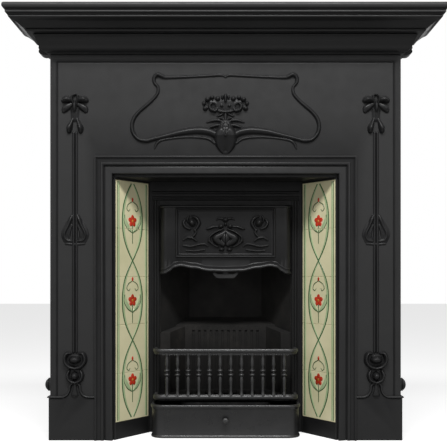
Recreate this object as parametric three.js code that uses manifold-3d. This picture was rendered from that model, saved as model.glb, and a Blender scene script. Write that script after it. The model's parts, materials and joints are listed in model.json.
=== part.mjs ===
// A tiled combination fireplace in cast iron: a surround with its shelf and cornice, a moulded frame
// round the opening, splayed tile trays, a hooded inset with its firebox, turned front bars, an ash drawer.
// Millimetres. X runs to the right, Y into the wall and Z up from the floor; the helpers work from the
// front face of the surround plate, and the last group moves the whole to the middle of its depth.
import * as THREE from "three";
import { mergeVertices } from "three/addons/utils/BufferGeometryUtils.js";
import Module from "manifold-3d";

const wasm = await Module();
wasm.setup();

// Fits and walls
const gap = 0.3; // between pieces that seat on each other
const ironWall = 7; // surround, shelf and cornice castings
const thinWall = 6; // trays, casing, hood and small castings
const slidingGap = 1; // under the drawer
const leastEdge = 0.01; // shorter edges, left where curved forms cross, are closed up

// Surround plate
const surroundWidth = 1096;
const surroundHeight = 1206; // floor to the underside of the cornice
const surroundDepth = 90; // front face to the wall
const topFlangeDepth = 46;
const lugSize = 44; // wall fixing ears
const lugHoleRadius = 5;
const grooveInset = 20; // shallow border groove, from the plate's sides
const grooveDrop = 23; // and from its top
const grooveWidth = 5;
const grooveDepth = 2;
const grooveCornerRadius = 9;

// Plinth blocks at the feet of the two pilasters
const plinthHeight = 130;
const plinthProud = 4;
const plinthCapHeight = 12;
const plinthCapProud = 10;
const plinthCrownRise = 32; // the cap sweeps up to the pilaster's cup
const sideBossRadius = 24;
const sideBossHeight = 169;

// Shelf and cornice
const shelfThickness = 73;
const shelfOverhang = 120;
const shelfRoll = 62; // how far the roll at the shelf's foot stands out
const corniceHeight = 53;
const corniceOverhang = 42;
const corniceBead = 7; // height of the bead along its top
const corniceFoot = 6; // how far the cornice's foot stands out from the plate

// Ornament of the frieze and the pilasters: heights are from the floor
const ornamentProud = 6;
const cartoucheWidth = 584;
const cartoucheRise = 204;
const cartoucheHeight = 1040;
const blossomHeight = 1048;
const stemSpread = 5;
const stemWidth = 8;
const bowHeight = 1050; // flower at the head of a pilaster
const bowSize = [82, 54]; // across and upwards
const dropHeight = 1004; // top of the hanging pods
const dropSize = [42, 46];
const midLeafHeight = 620; // foot of the pair of leaves
const midLeafSize = [64, 82];
const cupHeight = 219;
const cupSize = [68, 52];
const footCupHeight = 177;
const footCupSize = [48, 40];

// Opening and the moulded frame round it
const openingWidth = 704;
const openingHeight = 831;
const frameWidth = 64;
const frameProud = 14;
const frameBand = 26; // flat band next to the opening
const frameTongue = 4; // depth of the tongue that drops into the plate
const frameLap = 36; // how much of the frame lies on the plate

// Tile panels
const tileSize = 152.4;
const tileThickness = 9.5;
const tileJoint = 0.4;
const tileBevel = 1.2;
const tilesHigh = 5;
const tileBase = 54; // dark strip under the lowest tile
const tileEdgeInset = 8; // from the opening's edge to the tile's front edge
const tileFrontDepth = 5;
const splayAngle = 53; // degrees, from the wall plane
const trayLip = 4;
const trayFlange = 30; // past the edge of the plate's opening

// Inset, its fire opening and the hood
const insetDepth = 134; // front face of the inset, behind the surround's front face
const insetWall = 8;
const insetOverlap = 14; // how far the inset runs past the tiles' inner edges
const fireWidth = 434;
const fireHeight = 746;
const headerBeadHeight = 787;
const beadRadius = 4;
const reedCount = 3;
const hoodProud = 30;
const hoodHeight = 224;
const hoodClearance = 3; // to each side of the fire opening, and above
const hoodRound = 22;
const hoodFlange = 30; // behind the header and the jambs
const hoodPanelWidth = 318;
const hoodPanelHeight = 155;
const hoodPanelDrop = 12; // from the hood's top edge
const hoodArch = 25; // rise of the lower edge
const hoodPanelBead = 8;

// Firebox
const fireboxDepth = 164; // behind the inset
const fireboxBackWidth = 252;
const fireboxHeight = 700;
const casingStraight = 11;
const casingFlange = 42;
const brickThickness = 32;
const brickBase = 108;
const backBrickDepth = 76;
const backBrickHeight = 345;
const backBrickSlope = 24; // rise of its top towards the back
const cheekBrickHeight = 325; // at the front, where it is lowest
const brickToe = 10; // carries the back of the bottom grate
const ribPanelWidth = 238;
const ribPanelTop = 16; // below the brick's front edge
const ribCount = 12;
const ribDepth = 4;

// Bottom grate and front bars
const grateHeight = 116;
const grateThickness = 12;
const grateSlots = 9;
const grateSlotWidth = 16;
const barsWidth = 468;
const barsProud = 74; // in front of the inset
const barsCorner = 34;
const railDepth = 12;
const railHeight = 19;
const lowerRailHeight = 19;
const barsTop = 280;
const balusterCount = 12;
const balusterSpan = 376;
const balusterRadius = 7;
const restThickness = 6.5; // brackets on the inset that carry the grate and the bars
const restReach = 36;
const restInner = 17; // how far a bracket reaches in from the fire opening's edge

// Ash drawer
const coverWidth = 470;
const coverHeight = 107;
const coverProud = 105; // in front of the inset
const coverCorner = 40;
const coverWall = 5;
const coverLipHeight = 12;
const coverLipProud = 4;
const coverBeadProud = 3;
const knobRadius = 11;
const knobReach = 20;
const knobHeight = 56;
const panWidth = 300;
const panDepth = 186;
const panHeight = 82;
const panWall = 2.5;

// Damper
const registerThickness = 6;
const flueWidth = 220;
const flueDepth = 110;
const damperPivotSetback = 23; // from the back of the inset's wall
const flapOverlap = 8;
const flapThickness = 5;
const trunnionRadius = 5;
const earThickness = 8;
const armWidth = 16;
const armThickness = 6;
const tabWidth = 84;
const tabHeight = 18;
const tabDrop = 5; // below the hood's lower edge
const tabThickness = 8;

// Bolts
const boltRadius = 4;
const boltHeadRadius = 7.5;
const boltHeadHeight = 5;
const boltBite = 5; // how deep it enters a tapped hole

// ---- Values worked out from the above ----
const surroundHalf = surroundWidth / 2;
const openingHalf = openingWidth / 2;
const frameOuter = openingHalf + frameWidth;
const plateCutHalf = frameOuter - frameLap;
const plateCutTop = openingHeight + frameWidth - frameLap;
const shelfTop = surroundHeight + corniceHeight + shelfThickness;
const pilasterCentre = (frameOuter + surroundHalf) / 2 - 12;
const insetBack = insetDepth + insetWall;
const fireHalf = fireWidth / 2;
const fireboxBack = insetBack + fireboxDepth;
const casingFront = insetBack + gap;
const rearReach = fireboxBack + thinWall;

// Splay of the tile panels: a is measured along the face from its front edge, n out of the face
const splay = THREE.MathUtils.degToRad(splayAngle);
const tileFrontX = openingHalf - tileEdgeInset;
const onFace = (a, n) => [
  tileFrontX - a * Math.cos(splay) - n * Math.sin(splay),
  tileFrontDepth + a * Math.sin(splay) - n * Math.cos(splay),
];
const trayHeight = tileBase + tilesHigh * tileSize + gap + thinWall;

// ---- Materials ----
const castIron = () => new THREE.MeshStandardMaterial({ color: 0x2b2b2d, roughness: 0.5, metalness: 0.6 });
const sootedIron = () => new THREE.MeshStandardMaterial({ color: 0x1b1a1a, roughness: 0.85, metalness: 0.2 });
const glazedTile = () => new THREE.MeshStandardMaterial({ color: 0xc9c4a2, roughness: 0.15, metalness: 0 });
const boltSteel = () => new THREE.MeshStandardMaterial({ color: 0x4a4a4c, roughness: 0.45, metalness: 0.8 });

// ---- Helpers ----
// A closed geometry as a solid that can be joined and cut.
function solid(geometry) {
  const bare = geometry.clone();
  bare.deleteAttribute("normal");
  bare.deleteAttribute("uv");
  const merged = mergeVertices(bare, 1e-4);
  const positions = merged.attributes.position;
  const corners = merged.index ? merged.index.array : positions.array.keys();
  const triVerts = Uint32Array.from(corners);
  return new wasm.Manifold(
    new wasm.Mesh({ numProp: 3, vertProperties: new Float32Array(positions.array), triVerts }),
  );
}

// The same solid turned back into a geometry.
function geometryOf(body) {
  const { vertProperties, triVerts } = body.simplify(leastEdge).getMesh();
  const geometry = new THREE.BufferGeometry();
  geometry.setAttribute("position", new THREE.BufferAttribute(vertProperties, 3));
  geometry.setIndex(new THREE.BufferAttribute(triVerts, 1));
  geometry.computeVertexNormals();
  return geometry;
}

const join = (...bodies) => bodies.flat().reduce((whole, next) => whole.add(next));
const cut = (body, ...tools) => tools.flat().reduce((rest, tool) => rest.subtract(tool), body);

const fireplace = new THREE.Group();

// Names a piece, places it and hangs it in its group.
function piece(name, shape, material, parent = fireplace) {
  const geometry = shape.isBufferGeometry ? shape : geometryOf(shape);
  const mesh = new THREE.Mesh(geometry, material);
  mesh.name = name;
  parent.add(mesh);
  return mesh;
}

// A block between two corners.
function block(x0, x1, y0, y1, z0, z1) {
  const geometry = new THREE.BoxGeometry(x1 - x0, y1 - y0, z1 - z0);
  geometry.translate((x0 + x1) / 2, (y0 + y1) / 2, (z0 + z1) / 2);
  return solid(geometry);
}

const outline = (points) => new THREE.Shape(points.map(([x, y]) => new THREE.Vector2(x, y)));

// An outline drawn in plan, X and Y, standing between two heights.
function standing(shape, z0, z1) {
  const flat = Array.isArray(shape) ? outline(shape) : shape;
  const geometry = new THREE.ExtrudeGeometry(flat, { depth: z1 - z0, bevelEnabled: false, curveSegments: 5 });
  geometry.translate(0, 0, z0);
  return solid(geometry);
}

// An outline drawn in elevation, X and Z, running from front to back.
function upright(shape, y0, y1) {
  const flat = Array.isArray(shape) ? outline(shape) : shape;
  const geometry = new THREE.ExtrudeGeometry(flat, { depth: y1 - y0, bevelEnabled: false, curveSegments: 5 });
  geometry.rotateX(Math.PI / 2);
  geometry.translate(0, y1, 0);
  return solid(geometry);
}

// An outline drawn from the side, Y and Z, running across.
function sideways(points, x0, x1) {
  const geometry = new THREE.ExtrudeGeometry(outline(points), { depth: x1 - x0, bevelEnabled: false });
  geometry.rotateX(Math.PI / 2);
  geometry.rotateZ(Math.PI / 2);
  geometry.translate(x0, 0, 0);
  return solid(geometry);
}

// A round bar along an axis, centred on a point.
function rod(axis, radius, length, [x, y, z], sides = 10) {
  const geometry = new THREE.CylinderGeometry(radius, radius, length, sides);
  if (axis === "x") geometry.rotateZ(Math.PI / 2);
  if (axis === "z") geometry.rotateX(Math.PI / 2);
  geometry.translate(x, y, z);
  return solid(geometry);
}

// A closed section carried through stations, each of which places a point (u, v) of the section.
function sweep(section, stations) {
  const contour = section.map(([u, v]) => new THREE.Vector2(u, v));
  if (THREE.ShapeUtils.area(contour) < 0) contour.reverse();
  const ring = contour.length;
  const points = stations.flatMap((place) => contour.map(({ x, y }) => place(x, y)));
  const faces = [];
  for (let s = 0; s + 1 < stations.length; s++) {
    for (let i = 0; i < ring; i++) {
      const a = s * ring + i;
      const b = s * ring + ((i + 1) % ring);
      faces.push([a, b, b + ring], [a, b + ring, a + ring]);
    }
  }
  const last = (stations.length - 1) * ring;
  for (const [a, b, c] of THREE.ShapeUtils.triangulateShape(contour, [])) {
    faces.push([a, c, b], [last + a, last + b, last + c]);
  }
  let volume = 0;
  for (const [a, b, c] of faces) {
    const [p, q, r] = [a, b, c].map((i) => new THREE.Vector3(...points[i]));
    volume += p.dot(q.cross(r));
  }
  const geometry = new THREE.BufferGeometry();
  geometry.setAttribute("position", new THREE.Float32BufferAttribute(points.flat(), 3));
  geometry.setIndex(faces.flatMap(([a, b, c]) => (volume > 0 ? [a, b, c] : [a, c, b])));
  return solid(geometry);
}

// A moulding that runs round the front and both sides: p is how far it stands out from the surround.
const roundThreeSides = (section) =>
  sweep(section, [
    (p, z) => [-surroundHalf - p, surroundDepth, z],
    (p, z) => [-surroundHalf - p, -p, z],
    (p, z) => [surroundHalf + p, -p, z],
    (p, z) => [surroundHalf + p, surroundDepth, z],
  ]);

// A moulding that runs up, over and down an opening: u leads outwards from its edge and v to the front.
const roundOpening = (section, half, top) =>
  sweep(section, [
    (u, v) => [-half - u, -v, 0],
    (u, v) => [-half - u, -v, top + u],
    (u, v) => [half + u, -v, top + u],
    (u, v) => [half + u, -v, 0],
  ]);

// A rail that comes out of the inset, turns two round corners and crosses the front: n leads to the front.
function roundFront(section, half, front, corner, sideEnd, turns = 5) {
  const stations = [(n, z) => [-half - n, sideEnd, z]];
  for (let i = 0; i <= turns; i++) {
    const angle = (i / turns) * (Math.PI / 2);
    stations.push((n, z) => [
      -half + corner - (corner + n) * Math.cos(angle),
      front + corner - (corner + n) * Math.sin(angle),
      z,
    ]);
  }
  const mirrored = stations.map((place) => (n, z) => {
    const [x, y, height] = place(n, z);
    return [-x, y, height];
  });
  return sweep(section, [...stations, ...mirrored.reverse()]);
}

// A raised rib of changing width on an upright face, along points [x, z, width, height].
function rib(points, face = 0, sink = 1) {
  const section = [[-1, -1], [1, -1], [0.8, 0.55], [0, 1], [-0.8, 0.55]];
  const stations = points.map(([x, z, width, height], i) => {
    const before = points[Math.max(i - 1, 0)];
    const after = points[Math.min(i + 1, points.length - 1)];
    const run = new THREE.Vector2(after[0] - before[0], after[1] - before[1]).normalize();
    return (u, v) => [
      x - (u * width * run.y) / 2,
      face - (v < 0 ? -sink : v * height),
      z + (u * width * run.x) / 2,
    ];
  });
  return sweep(section, stations);
}

// The same rib along a smooth curve through a few guide points [x, z], thin at its ends.
function flowingRib(guides, { width, height, steps, taper = 0.35, face = 0 }) {
  const curve = new THREE.SplineCurve(guides.map(([x, z]) => new THREE.Vector2(x, z)));
  const points = curve.getSpacedPoints(steps).map(({ x, y }, i) => {
    const swell = taper + (1 - taper) * Math.sin((Math.PI * i) / steps);
    return [x, y, width * swell, height * Math.min(1, 0.4 + swell)];
  });
  return rib(points, face);
}

// A leaf or petal: a short rib, widest before its middle.
function leaf([x, z], degrees, length, width, height, face = 0) {
  const angle = THREE.MathUtils.degToRad(degrees);
  const shares = [[0, 0.3], [0.35, 1], [0.7, 0.75], [1, 0.12]];
  const points = shares.map(([along, wide]) => [
    x + along * length * Math.cos(angle),
    z + along * length * Math.sin(angle),
    width * wide,
    height * (0.35 + 0.65 * wide),
  ]);
  return rib(points, face);
}

// A low round boss on an upright face.
function boss([x, z], radius, height, face = 0, tall = radius) {
  const profile = [[0, -0.2], [1, -0.2], [1, 0.1], [0.82, 0.58], [0.45, 0.9], [0, 1]];
  const dome = new THREE.LatheGeometry(profile.map(([r, h]) => new THREE.Vector2(r, h)), 8);
  dome.rotateX(Math.PI);
  dome.scale(radius, height, tall);
  dome.translate(x, face, z);
  return solid(dome);
}

const mirrorX = (points) => points.map(([x, ...rest]) => [-x, ...rest]);
const inOrder = (...values) => values.sort((a, b) => a - b);

// Guide points given as shares of half a width and of a rise, from a point; the side mirrors them.
const spread = ([x, z], [width, rise], side, shares) =>
  shares.map(([across, up]) => [x + (side * across * width) / 2, z + up * rise]);

// ---- Fasteners ----
const holeRadius = (boltRadius + gap) / Math.cos(Math.PI / 10);

// A hexagon bolt whose head seats at a point; it reaches towards the front, or upwards.
function bolt(name, [x, y, z], reach, upwards = false) {
  const shank = rod("y", boltRadius, reach + 1, [0, (1 - reach) / 2, 0]);
  const head = rod("y", boltHeadRadius, boltHeadHeight, [0, boltHeadHeight / 2, 0], 6);
  const mesh = piece(name, join(shank, head), boltSteel());
  mesh.position.set(x, y, z);
  if (upwards) mesh.rotation.x = -Math.PI / 2;
  return mesh;
}

const sides = [["left", -1], ["right", 1]];

// ---- Surround ----
const clampX = plateCutHalf + 20; // bolts that clamp tray, plate and frame together
const clampHeights = [150, openingHeight - 51];
const soffitBoltX = 200;
const soffitBoltHeight = plateCutTop + 15;
const shelfBoltX = 400;
const corniceBoltDepth = topFlangeDepth - 18;
const shelfBoltDepth = corniceOverhang - 30; // in front of the plate
const ledgeThickness = ironWall + 1; // top ledge of the cornice, which carries the shelf

function plate() {
  const [w, h] = [surroundHalf, surroundHeight];
  const tall = h + 1; // one cut gives them all their common top
  const front = upright(
    [[-w, 0], [-plateCutHalf, 0], [-plateCutHalf, plateCutTop], [plateCutHalf, plateCutTop],
      [plateCutHalf, 0], [w, 0], [w, tall], [-w, tall]],
    0,
    ironWall,
  );
  const returns = sides.map(([, side]) =>
    block(...inOrder(side * w, side * (w - ironWall)), 0, surroundDepth, 0, tall),
  );
  const flange = block(-w + ironWall / 2, w - ironWall / 2, 1, topFlangeDepth, h - ironWall, tall);
  const lugs = sides.flatMap(([, side]) =>
    [0.2, 0.84].map((share) => {
      const inner = side * (w - ironWall - lugSize);
      const [x0, x1] = inOrder(inner, side * (w - 1));
      const z = h * share;
      const ear = block(x0, x1, surroundDepth - ironWall, surroundDepth, z - lugSize / 2, z + lugSize / 2);
      const middle = [inner + side * (lugSize / 2), surroundDepth, z];
      return cut(ear, rod("y", lugHoleRadius, surroundDepth, middle));
    }),
  );
  return cut(join(front, returns, flange, lugs), block(-w - 1, w + 1, -1, surroundDepth + 1, h, tall + 1));
}

// The groove follows the sides and the top of the plate, with round corners.
function borderGroove() {
  const x = surroundHalf - grooveInset;
  const z = surroundHeight - grooveDrop;
  const r = grooveCornerRadius;
  const half = [[-x, plinthHeight + plinthCapHeight]];
  for (let i = 0; i <= 4; i++) {
    const angle = Math.PI - (i / 4) * (Math.PI / 2);
    half.push([-x + r + r * Math.cos(angle), z - r + r * Math.sin(angle)]);
  }
  const path = [...half, ...mirrorX(half).reverse()].map(([px, pz]) => [px, pz, grooveWidth, grooveDepth]);
  return rib(path.map(([px, pz, width]) => [px, pz, width, 1]), 0, grooveDepth);
}

function plinth(side) {
  const inner = frameOuter + gap;
  const outer = surroundHalf + plinthProud;
  const place = (points) => points.map(([x, z]) => [side * x, z]);
  const crown = (z) => [
    [inner, z],
    [pilasterCentre - 40, z + plinthCrownRise * 0.15],
    [pilasterCentre - 22, z + plinthCrownRise * 0.5],
    [pilasterCentre - 12, z + plinthCrownRise],
    [pilasterCentre + 12, z + plinthCrownRise],
    [pilasterCentre + 22, z + plinthCrownRise * 0.5],
    [pilasterCentre + 40, z + plinthCrownRise * 0.15],
    [outer, z],
  ];
  const capTop = plinthHeight + plinthCapHeight;
  const field = upright(place([[inner, 0], ...crown(plinthHeight), [outer, 0]]), -plinthProud, 1);
  const cap = upright(place([...crown(plinthHeight), ...crown(capTop).reverse()]), -plinthCapProud, 1);
  const [x0, x1] = inOrder(side * (surroundHalf - 1), side * outer);
  const flank = block(x0, x1, -plinthProud, surroundDepth, 0, plinthHeight);
  const flankCap = block(x0, x1, -plinthCapProud, surroundDepth, plinthHeight, capTop);
  return [field, cap, flank, flankCap];
}

function cartouche() {
  const size = [cartoucheWidth, cartoucheRise / 2];
  const top = [[0, 0.94], [0.1, 0.98], [0.38, 0.94], [0.64, 0.91], [0.725, 1]];
  const flank = [
    [0.725, 1], [0.76, 0.8], [0.715, 0.55], [0.76, 0.3], [0.9, -0.1], [0.985, -0.33], [1, -0.6], [0.93, -0.93],
    [0.81, -1], [0.7, -0.92], [0.455, -0.74], [0.28, -0.68], [0.14, -0.71], [0.06, -0.88], [0, -1.15],
  ];
  const underline = [
    [0.755, -1.23], [0.7, -1.06], [0.6, -0.95], [0.455, -0.91], [0.28, -0.92], [0.12, -1], [0, -1.2],
  ];
  const height = ornamentProud * 0.8;
  return sides.flatMap(([, side]) => {
    const line = (shares, look) => flowingRib(spread([0, cartoucheHeight], size, side, shares), look);
    const [knob] = spread([0, cartoucheHeight], size, side, [[0.725, 1]]);
    return [
      line(top, { width: 11, height, steps: 9, taper: 0.6 }),
      line(flank, { width: 14, height, steps: 28, taper: 0.5 }),
      line(underline, { width: 7, height: height * 0.6, steps: 10 }),
      boss(knob, 11, height, 0, 13),
    ];
  });
}

function blossom() {
  const z = blossomHeight;
  const petals = [-52, -30, 0, 30, 52].map((x) =>
    boss([x, z + 18 - Math.abs(x) * 0.22], 15, ornamentProud + 3, 0, 13));
  const lower = [-40, -14, 14, 40].map((x) => boss([x, z - 8 - Math.abs(x) * 0.1], 13, ornamentProud, 0, 10));
  const calyx = [
    rib([[0, z - 50, 14, ornamentProud], [0, z - 10, 8, ornamentProud]]),
    leaf([0, z - 52], 8, 52, 14, ornamentProud),
    leaf([0, z - 52], 172, 52, 14, ornamentProud),
    leaf([0, z - 46], -72, 52, 24, ornamentProud),
    leaf([0, z - 46], -108, 52, 24, ornamentProud),
    leaf([0, z - 94], -90, 48, 40, ornamentProud),
  ];
  return [...petals, ...lower, ...calyx];
}

// Flower, hanging pods, leaves and two cups on a pair of reeded stems.
function pilasterOrnament(side) {
  const c = side * pilasterCentre;
  const proud = ornamentProud;
  const pair = (z, size, shares, look) =>
    sides.map(([, turn]) => flowingRib(spread([c, z], size, turn, shares), look));
  const stems = sides.map(([, turn]) => {
    const x = c + turn * stemSpread;
    return rib([[x, cupHeight + 50, stemWidth, proud * 0.8], [x, dropHeight - 40, stemWidth, proud * 0.8]]);
  });
  const wings = [[0.1, 0.05], [0.4, 0.22], [0.72, 0.34], [1, 0.24]];
  const droops = [[0.1, -0.05], [0.45, -0.06], [0.75, -0.22], [0.9, -0.45]];
  const uppers = [[0.08, 0.1], [0.2, 0.38], [0.3, 0.56]];
  const pods = [[0.3, 0], [0.5, -0.3], [0.82, -0.6], [0.9, -1]];
  const blades = [[0.3, 1], [0.46, 0.8], [0.7, 0.56], [0.98, 0.34], [1, 0.18], [0.76, 0.05], [0.3, 0.02]];
  const bowl = [[0.5, 1.06], [0.85, 1.06], [1, 0.8], [0.92, 0.5], [0.58, 0.24], [0, 0.12]];
  const footBowl = [[0.85, 1], [1, 0.66], [0.7, 0.26], [0, 0.05]];
  return [
    ...stems,
    ...pair(bowHeight, bowSize, wings, { width: 20, height: proud * 2, steps: 4 }),
    ...pair(bowHeight, bowSize, droops, { width: 18, height: proud * 1.7, steps: 4 }),
    ...pair(bowHeight, bowSize, uppers, { width: 12, height: proud * 1.8, steps: 3 }),
    leaf([c, bowHeight + 14], -90, 42, 15, proud * 2.4),
    ...pair(dropHeight, dropSize, pods, { width: 20, height: proud * 2, steps: 5, taper: 0.3 }),
    ...pair(midLeafHeight, midLeafSize, blades, { width: 11, height: proud * 1.6, steps: 9, taper: 0.5 }),
    ...pair(cupHeight, cupSize, bowl, { width: 13, height: proud * 1.8, steps: 8, taper: 0.75 }),
    boss([c, cupHeight + cupSize[1] * 0.62], 18, proud * 3, 0, 15),
    ...pair(footCupHeight, footCupSize, footBowl, { width: 11, height: proud * 1.6, steps: 6, taper: 0.75 }),
    boss([c, footCupHeight + footCupSize[1] * 0.57], 12, proud * 2.6),
  ];
}

function surround() {
  const drilled = cut(
    plate(),
    borderGroove(),
    sides.flatMap(([, side]) => clampHeights.map((z) => rod("y", holeRadius, 30, [side * clampX, 5, z]))),
    sides.map(([, side]) => rod("y", holeRadius, 30, [side * soffitBoltX, 5, soffitBoltHeight])),
    sides.map(([, side]) => rod("z", holeRadius, 30, [side * shelfBoltX, corniceBoltDepth, surroundHeight])),
  );
  const dressed = sides.flatMap(([, side]) => [...plinth(side), ...pilasterOrnament(side)]);
  return join(drilled, dressed, cartouche(), blossom());
}
piece("mantel_front", surround(), castIron());

// A domed roundel low on each side.
for (const [side, sign] of sides) {
  const profile = [[0, 0], [1, 0], [1, 0.29], [0.83, 0.5], [0.79, 0.67], [0.54, 0.92], [0, 1]];
  const rim = profile.map(([r, h]) => new THREE.Vector2(r * sideBossRadius, h * sideBossRadius));
  const dome = new THREE.LatheGeometry(rim, 12);
  const mesh = piece(`side_boss_${side}`, solid(dome), castIron());
  mesh.rotation.z = (-sign * Math.PI) / 2;
  mesh.position.set(sign * (surroundHalf + gap), surroundDepth / 2, sideBossHeight);
}

// ---- Cornice and shelf ----
function cornice() {
  const foot = surroundHeight + gap;
  const top = surroundHeight + corniceHeight - gap;
  const reach = corniceOverhang;
  const neck = reach - 8;
  const ogeeTop = top - 3 * corniceBead;
  const ogee = (offset) => {
    const points = [];
    for (let i = 0; i <= 7; i++) {
      const share = i / 7;
      const swing = (1 - Math.cos(Math.PI * share)) / 2;
      const z = THREE.MathUtils.lerp(ogeeTop, foot + thinWall, share);
      points.push([THREE.MathUtils.lerp(neck, corniceFoot, swing) - offset, z]);
    }
    return points;
  };
  const ledgeEnd = corniceFoot - 12;
  const shell = roundThreeSides([
    [reach, top], [reach + 1.5, top - corniceBead / 2], [reach, top - corniceBead],
    [neck + 4, top - corniceBead - 2.5], [neck + 1.5, top - 2 * corniceBead],
    ...ogee(0),
    [corniceFoot, foot],
    [corniceFoot - topFlangeDepth, foot],
    [corniceFoot - topFlangeDepth, foot + thinWall],
    ...ogee(ironWall + 1).reverse().slice(1),
    [neck - ironWall - 1, top - ledgeThickness],
    [ledgeEnd, top - ledgeThickness],
    [ledgeEnd, top],
  ]);
  const scrolls = sides.map(([, side]) => {
    const at = (x, z) => [side * (surroundHalf + x), surroundHeight + z];
    return upright([at(4, 3), at(24, 3), at(31, 5), at(37, 9), at(39, 15), at(37.5, 20), at(39, 25),
      at(38, 32), at(33, 37), at(20, 38), at(4, 30)], 12, 58);
  });
  const holes = sides.flatMap(([, side]) => [
    rod("z", holeRadius, 30, [side * shelfBoltX, corniceBoltDepth, foot]),
    rod("z", holeRadius, 30, [side * shelfBoltX, -shelfBoltDepth, top]),
  ]);
  return cut(join(shell, scrolls), holes);
}

function shelf() {
  const foot = surroundHeight + corniceHeight;
  const top = shelfTop;
  const reach = shelfOverhang;
  const roll = shelfRoll;
  const rest = shelfBoltDepth - 18;
  const hollow = [];
  for (let i = 0; i <= 5; i++) {
    const share = i / 5;
    const sag = 3 * Math.sin(Math.PI * share);
    hollow.push([
      THREE.MathUtils.lerp(reach - 23, roll + 1, share) - sag * 0.5,
      THREE.MathUtils.lerp(top - 44, foot + 10, share) + sag,
    ]);
  }
  const edge = roundThreeSides([
    [reach - 30, top], [reach - 3, top], [reach, top - 4], [reach, top - 15], [reach - 3, top - 20],
    [reach - 8, top - 22], [reach - 8, top - 26], [reach - 13, top - 30], [reach - 14, top - 34],
    [reach - 19, top - 38], [reach - 20, top - 43],
    ...hollow,
    [roll + 1.5, foot + 6], [roll, foot + 2], [roll - 4, foot],
    [rest, foot], [rest, foot + ironWall], [roll - 10, foot + ironWall],
    [roll - 6, foot + 16], [reach - 38, top - 39], [reach - 29, top - 29], [reach - 30, top - ironWall - 8],
  ]);
  const [x, y] = [surroundHalf + reach - 20, reach - 20];
  const board = block(-x, x, -y, surroundDepth, top - ironWall, top);
  const holes = sides.map(([, side]) => rod("z", holeRadius, 30, [side * shelfBoltX, -shelfBoltDepth, foot]));
  return cut(join(edge, board), holes);
}
piece("cornice", cornice(), castIron());
piece("mantel_shelf", shelf(), castIron());
for (const [side, sign] of sides) {
  const x = sign * shelfBoltX;
  const flangeSeat = surroundHeight - ironWall - gap;
  const ledgeSeat = surroundHeight + corniceHeight - ledgeThickness - 2 * gap;
  bolt(`cornice_bolt_${side}`, [x, corniceBoltDepth, flangeSeat], ironWall + gap + thinWall, true);
  bolt(`shelf_bolt_${side}`, [x, -shelfBoltDepth, ledgeSeat], ledgeThickness + ironWall, true);
}

// ---- Moulded frame round the opening ----
function openingFrame() {
  const [w, p] = [frameWidth, frameProud];
  const lap = frameWidth - frameLap;
  const section = [
    [0, 3], [1.5, 4.5], [frameBand - 1.5, 4.5], [frameBand, 3], [frameBand + 2, 1.5], [frameBand + 5, 1.5],
    [frameBand + 7, 6], [frameBand + 10, 8], [frameBand + 13, 7.5],
    [w - 19, 7.5], [w - 13, 9], [w - 9, p - 1.5], [w - 6, p], [w - 2.5, p - 1], [w - 1, p - 4], [w, 5],
    [w, gap], [lap - gap, gap], [lap - gap, -frameTongue], [0, -frameTongue],
  ];
  const holes = [
    ...sides.flatMap(([, side]) => clampHeights.map((z) => [side * clampX, z])),
    ...sides.map(([, side]) => [side * soffitBoltX, soffitBoltHeight]),
  ].map(([x, z]) => rod("y", holeRadius, 2 * (boltBite + gap), [x, 0, z]));
  return cut(roundOpening(section, openingHalf, openingHeight), holes);
}
piece("opening_frame", openingFrame(), castIron());

// ---- Tile panels ----
const trayBack = tileThickness + gap; // behind the tiles' faces
const panelFlangeFront = ironWall + gap;

function tray(side) {
  const plateBack = panelFlangeFront;
  const flangeBack = plateBack + thinWall;
  const flangeEnd = plateCutHalf + trayFlange;
  const innerEnd = insetDepth - gap;
  // Where a line at distance n from the faces meets a depth y.
  const along = (n, y) => (y - tileFrontDepth + n * Math.cos(splay)) / Math.sin(splay);
  const out = (a, y) => (tileFrontDepth + a * Math.sin(splay) - y) / Math.cos(splay);
  const back = -trayBack - thinWall;
  const lipInner = tileSize + gap;
  const lipEnd = tileSize + gap + trayLip;
  const lipOuter = -gap - trayLip;
  const plan = [
    [flangeEnd, plateBack],
    [flangeEnd, flangeBack],
    onFace(along(back, flangeBack), back),
    onFace(along(back, innerEnd), back),
    onFace(lipEnd, out(lipEnd, innerEnd)),
    onFace(lipEnd, 0.5),
    onFace(lipInner, 0.5),
    onFace(lipInner, -trayBack),
    onFace(-gap, -trayBack),
    onFace(-gap, 0.5),
    onFace(lipOuter, 0.5),
    onFace(lipOuter, out(lipOuter, plateBack)),
  ].map(([x, y]) => [side * x, y]);
  const fillBack = -trayBack - 1;
  const fillEnd = Math.min(lipInner + 1, along(fillBack, innerEnd));
  const filler = [
    onFace(-1, -0.5), onFace(-1, fillBack), onFace(fillEnd, fillBack), onFace(lipInner + 1, -0.5),
  ].map(([x, y]) => [side * x, y]);
  const holes = clampHeights.map((z) => rod("y", holeRadius, 30, [side * clampX, flangeBack, z]));
  return cut(
    join(
      standing(plan, 0, trayHeight),
      standing(filler, 0, tileBase - gap),
      standing(filler, trayHeight - thinWall, trayHeight),
    ),
    holes,
  );
}

// A tile: its face has eased edges. Local X runs along the face, local Y out of it.
function tileGeometry() {
  const half = (tileSize - tileJoint) / 2;
  const [a, b] = [half, half - tileBevel];
  const ring = (reach, y) => [[-reach, y, -reach], [reach, y, -reach], [reach, y, reach], [-reach, y, reach]];
  const points = [...ring(a, -tileThickness), ...ring(a, -tileBevel), ...ring(b, 0)];
  const faces = [0, 1, 2, 0, 2, 3, 8, 10, 9, 8, 11, 10];
  for (const start of [0, 4]) {
    for (let i = 0; i < 4; i++) {
      const [p, q] = [start + i, start + ((i + 1) % 4)];
      faces.push(p, q + 4, q, p, p + 4, q + 4);
    }
  }
  const geometry = new THREE.BufferGeometry();
  geometry.setAttribute("position", new THREE.Float32BufferAttribute(points.flat(), 3));
  geometry.setIndex(faces);
  geometry.computeVertexNormals();
  return geometry;
}

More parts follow.
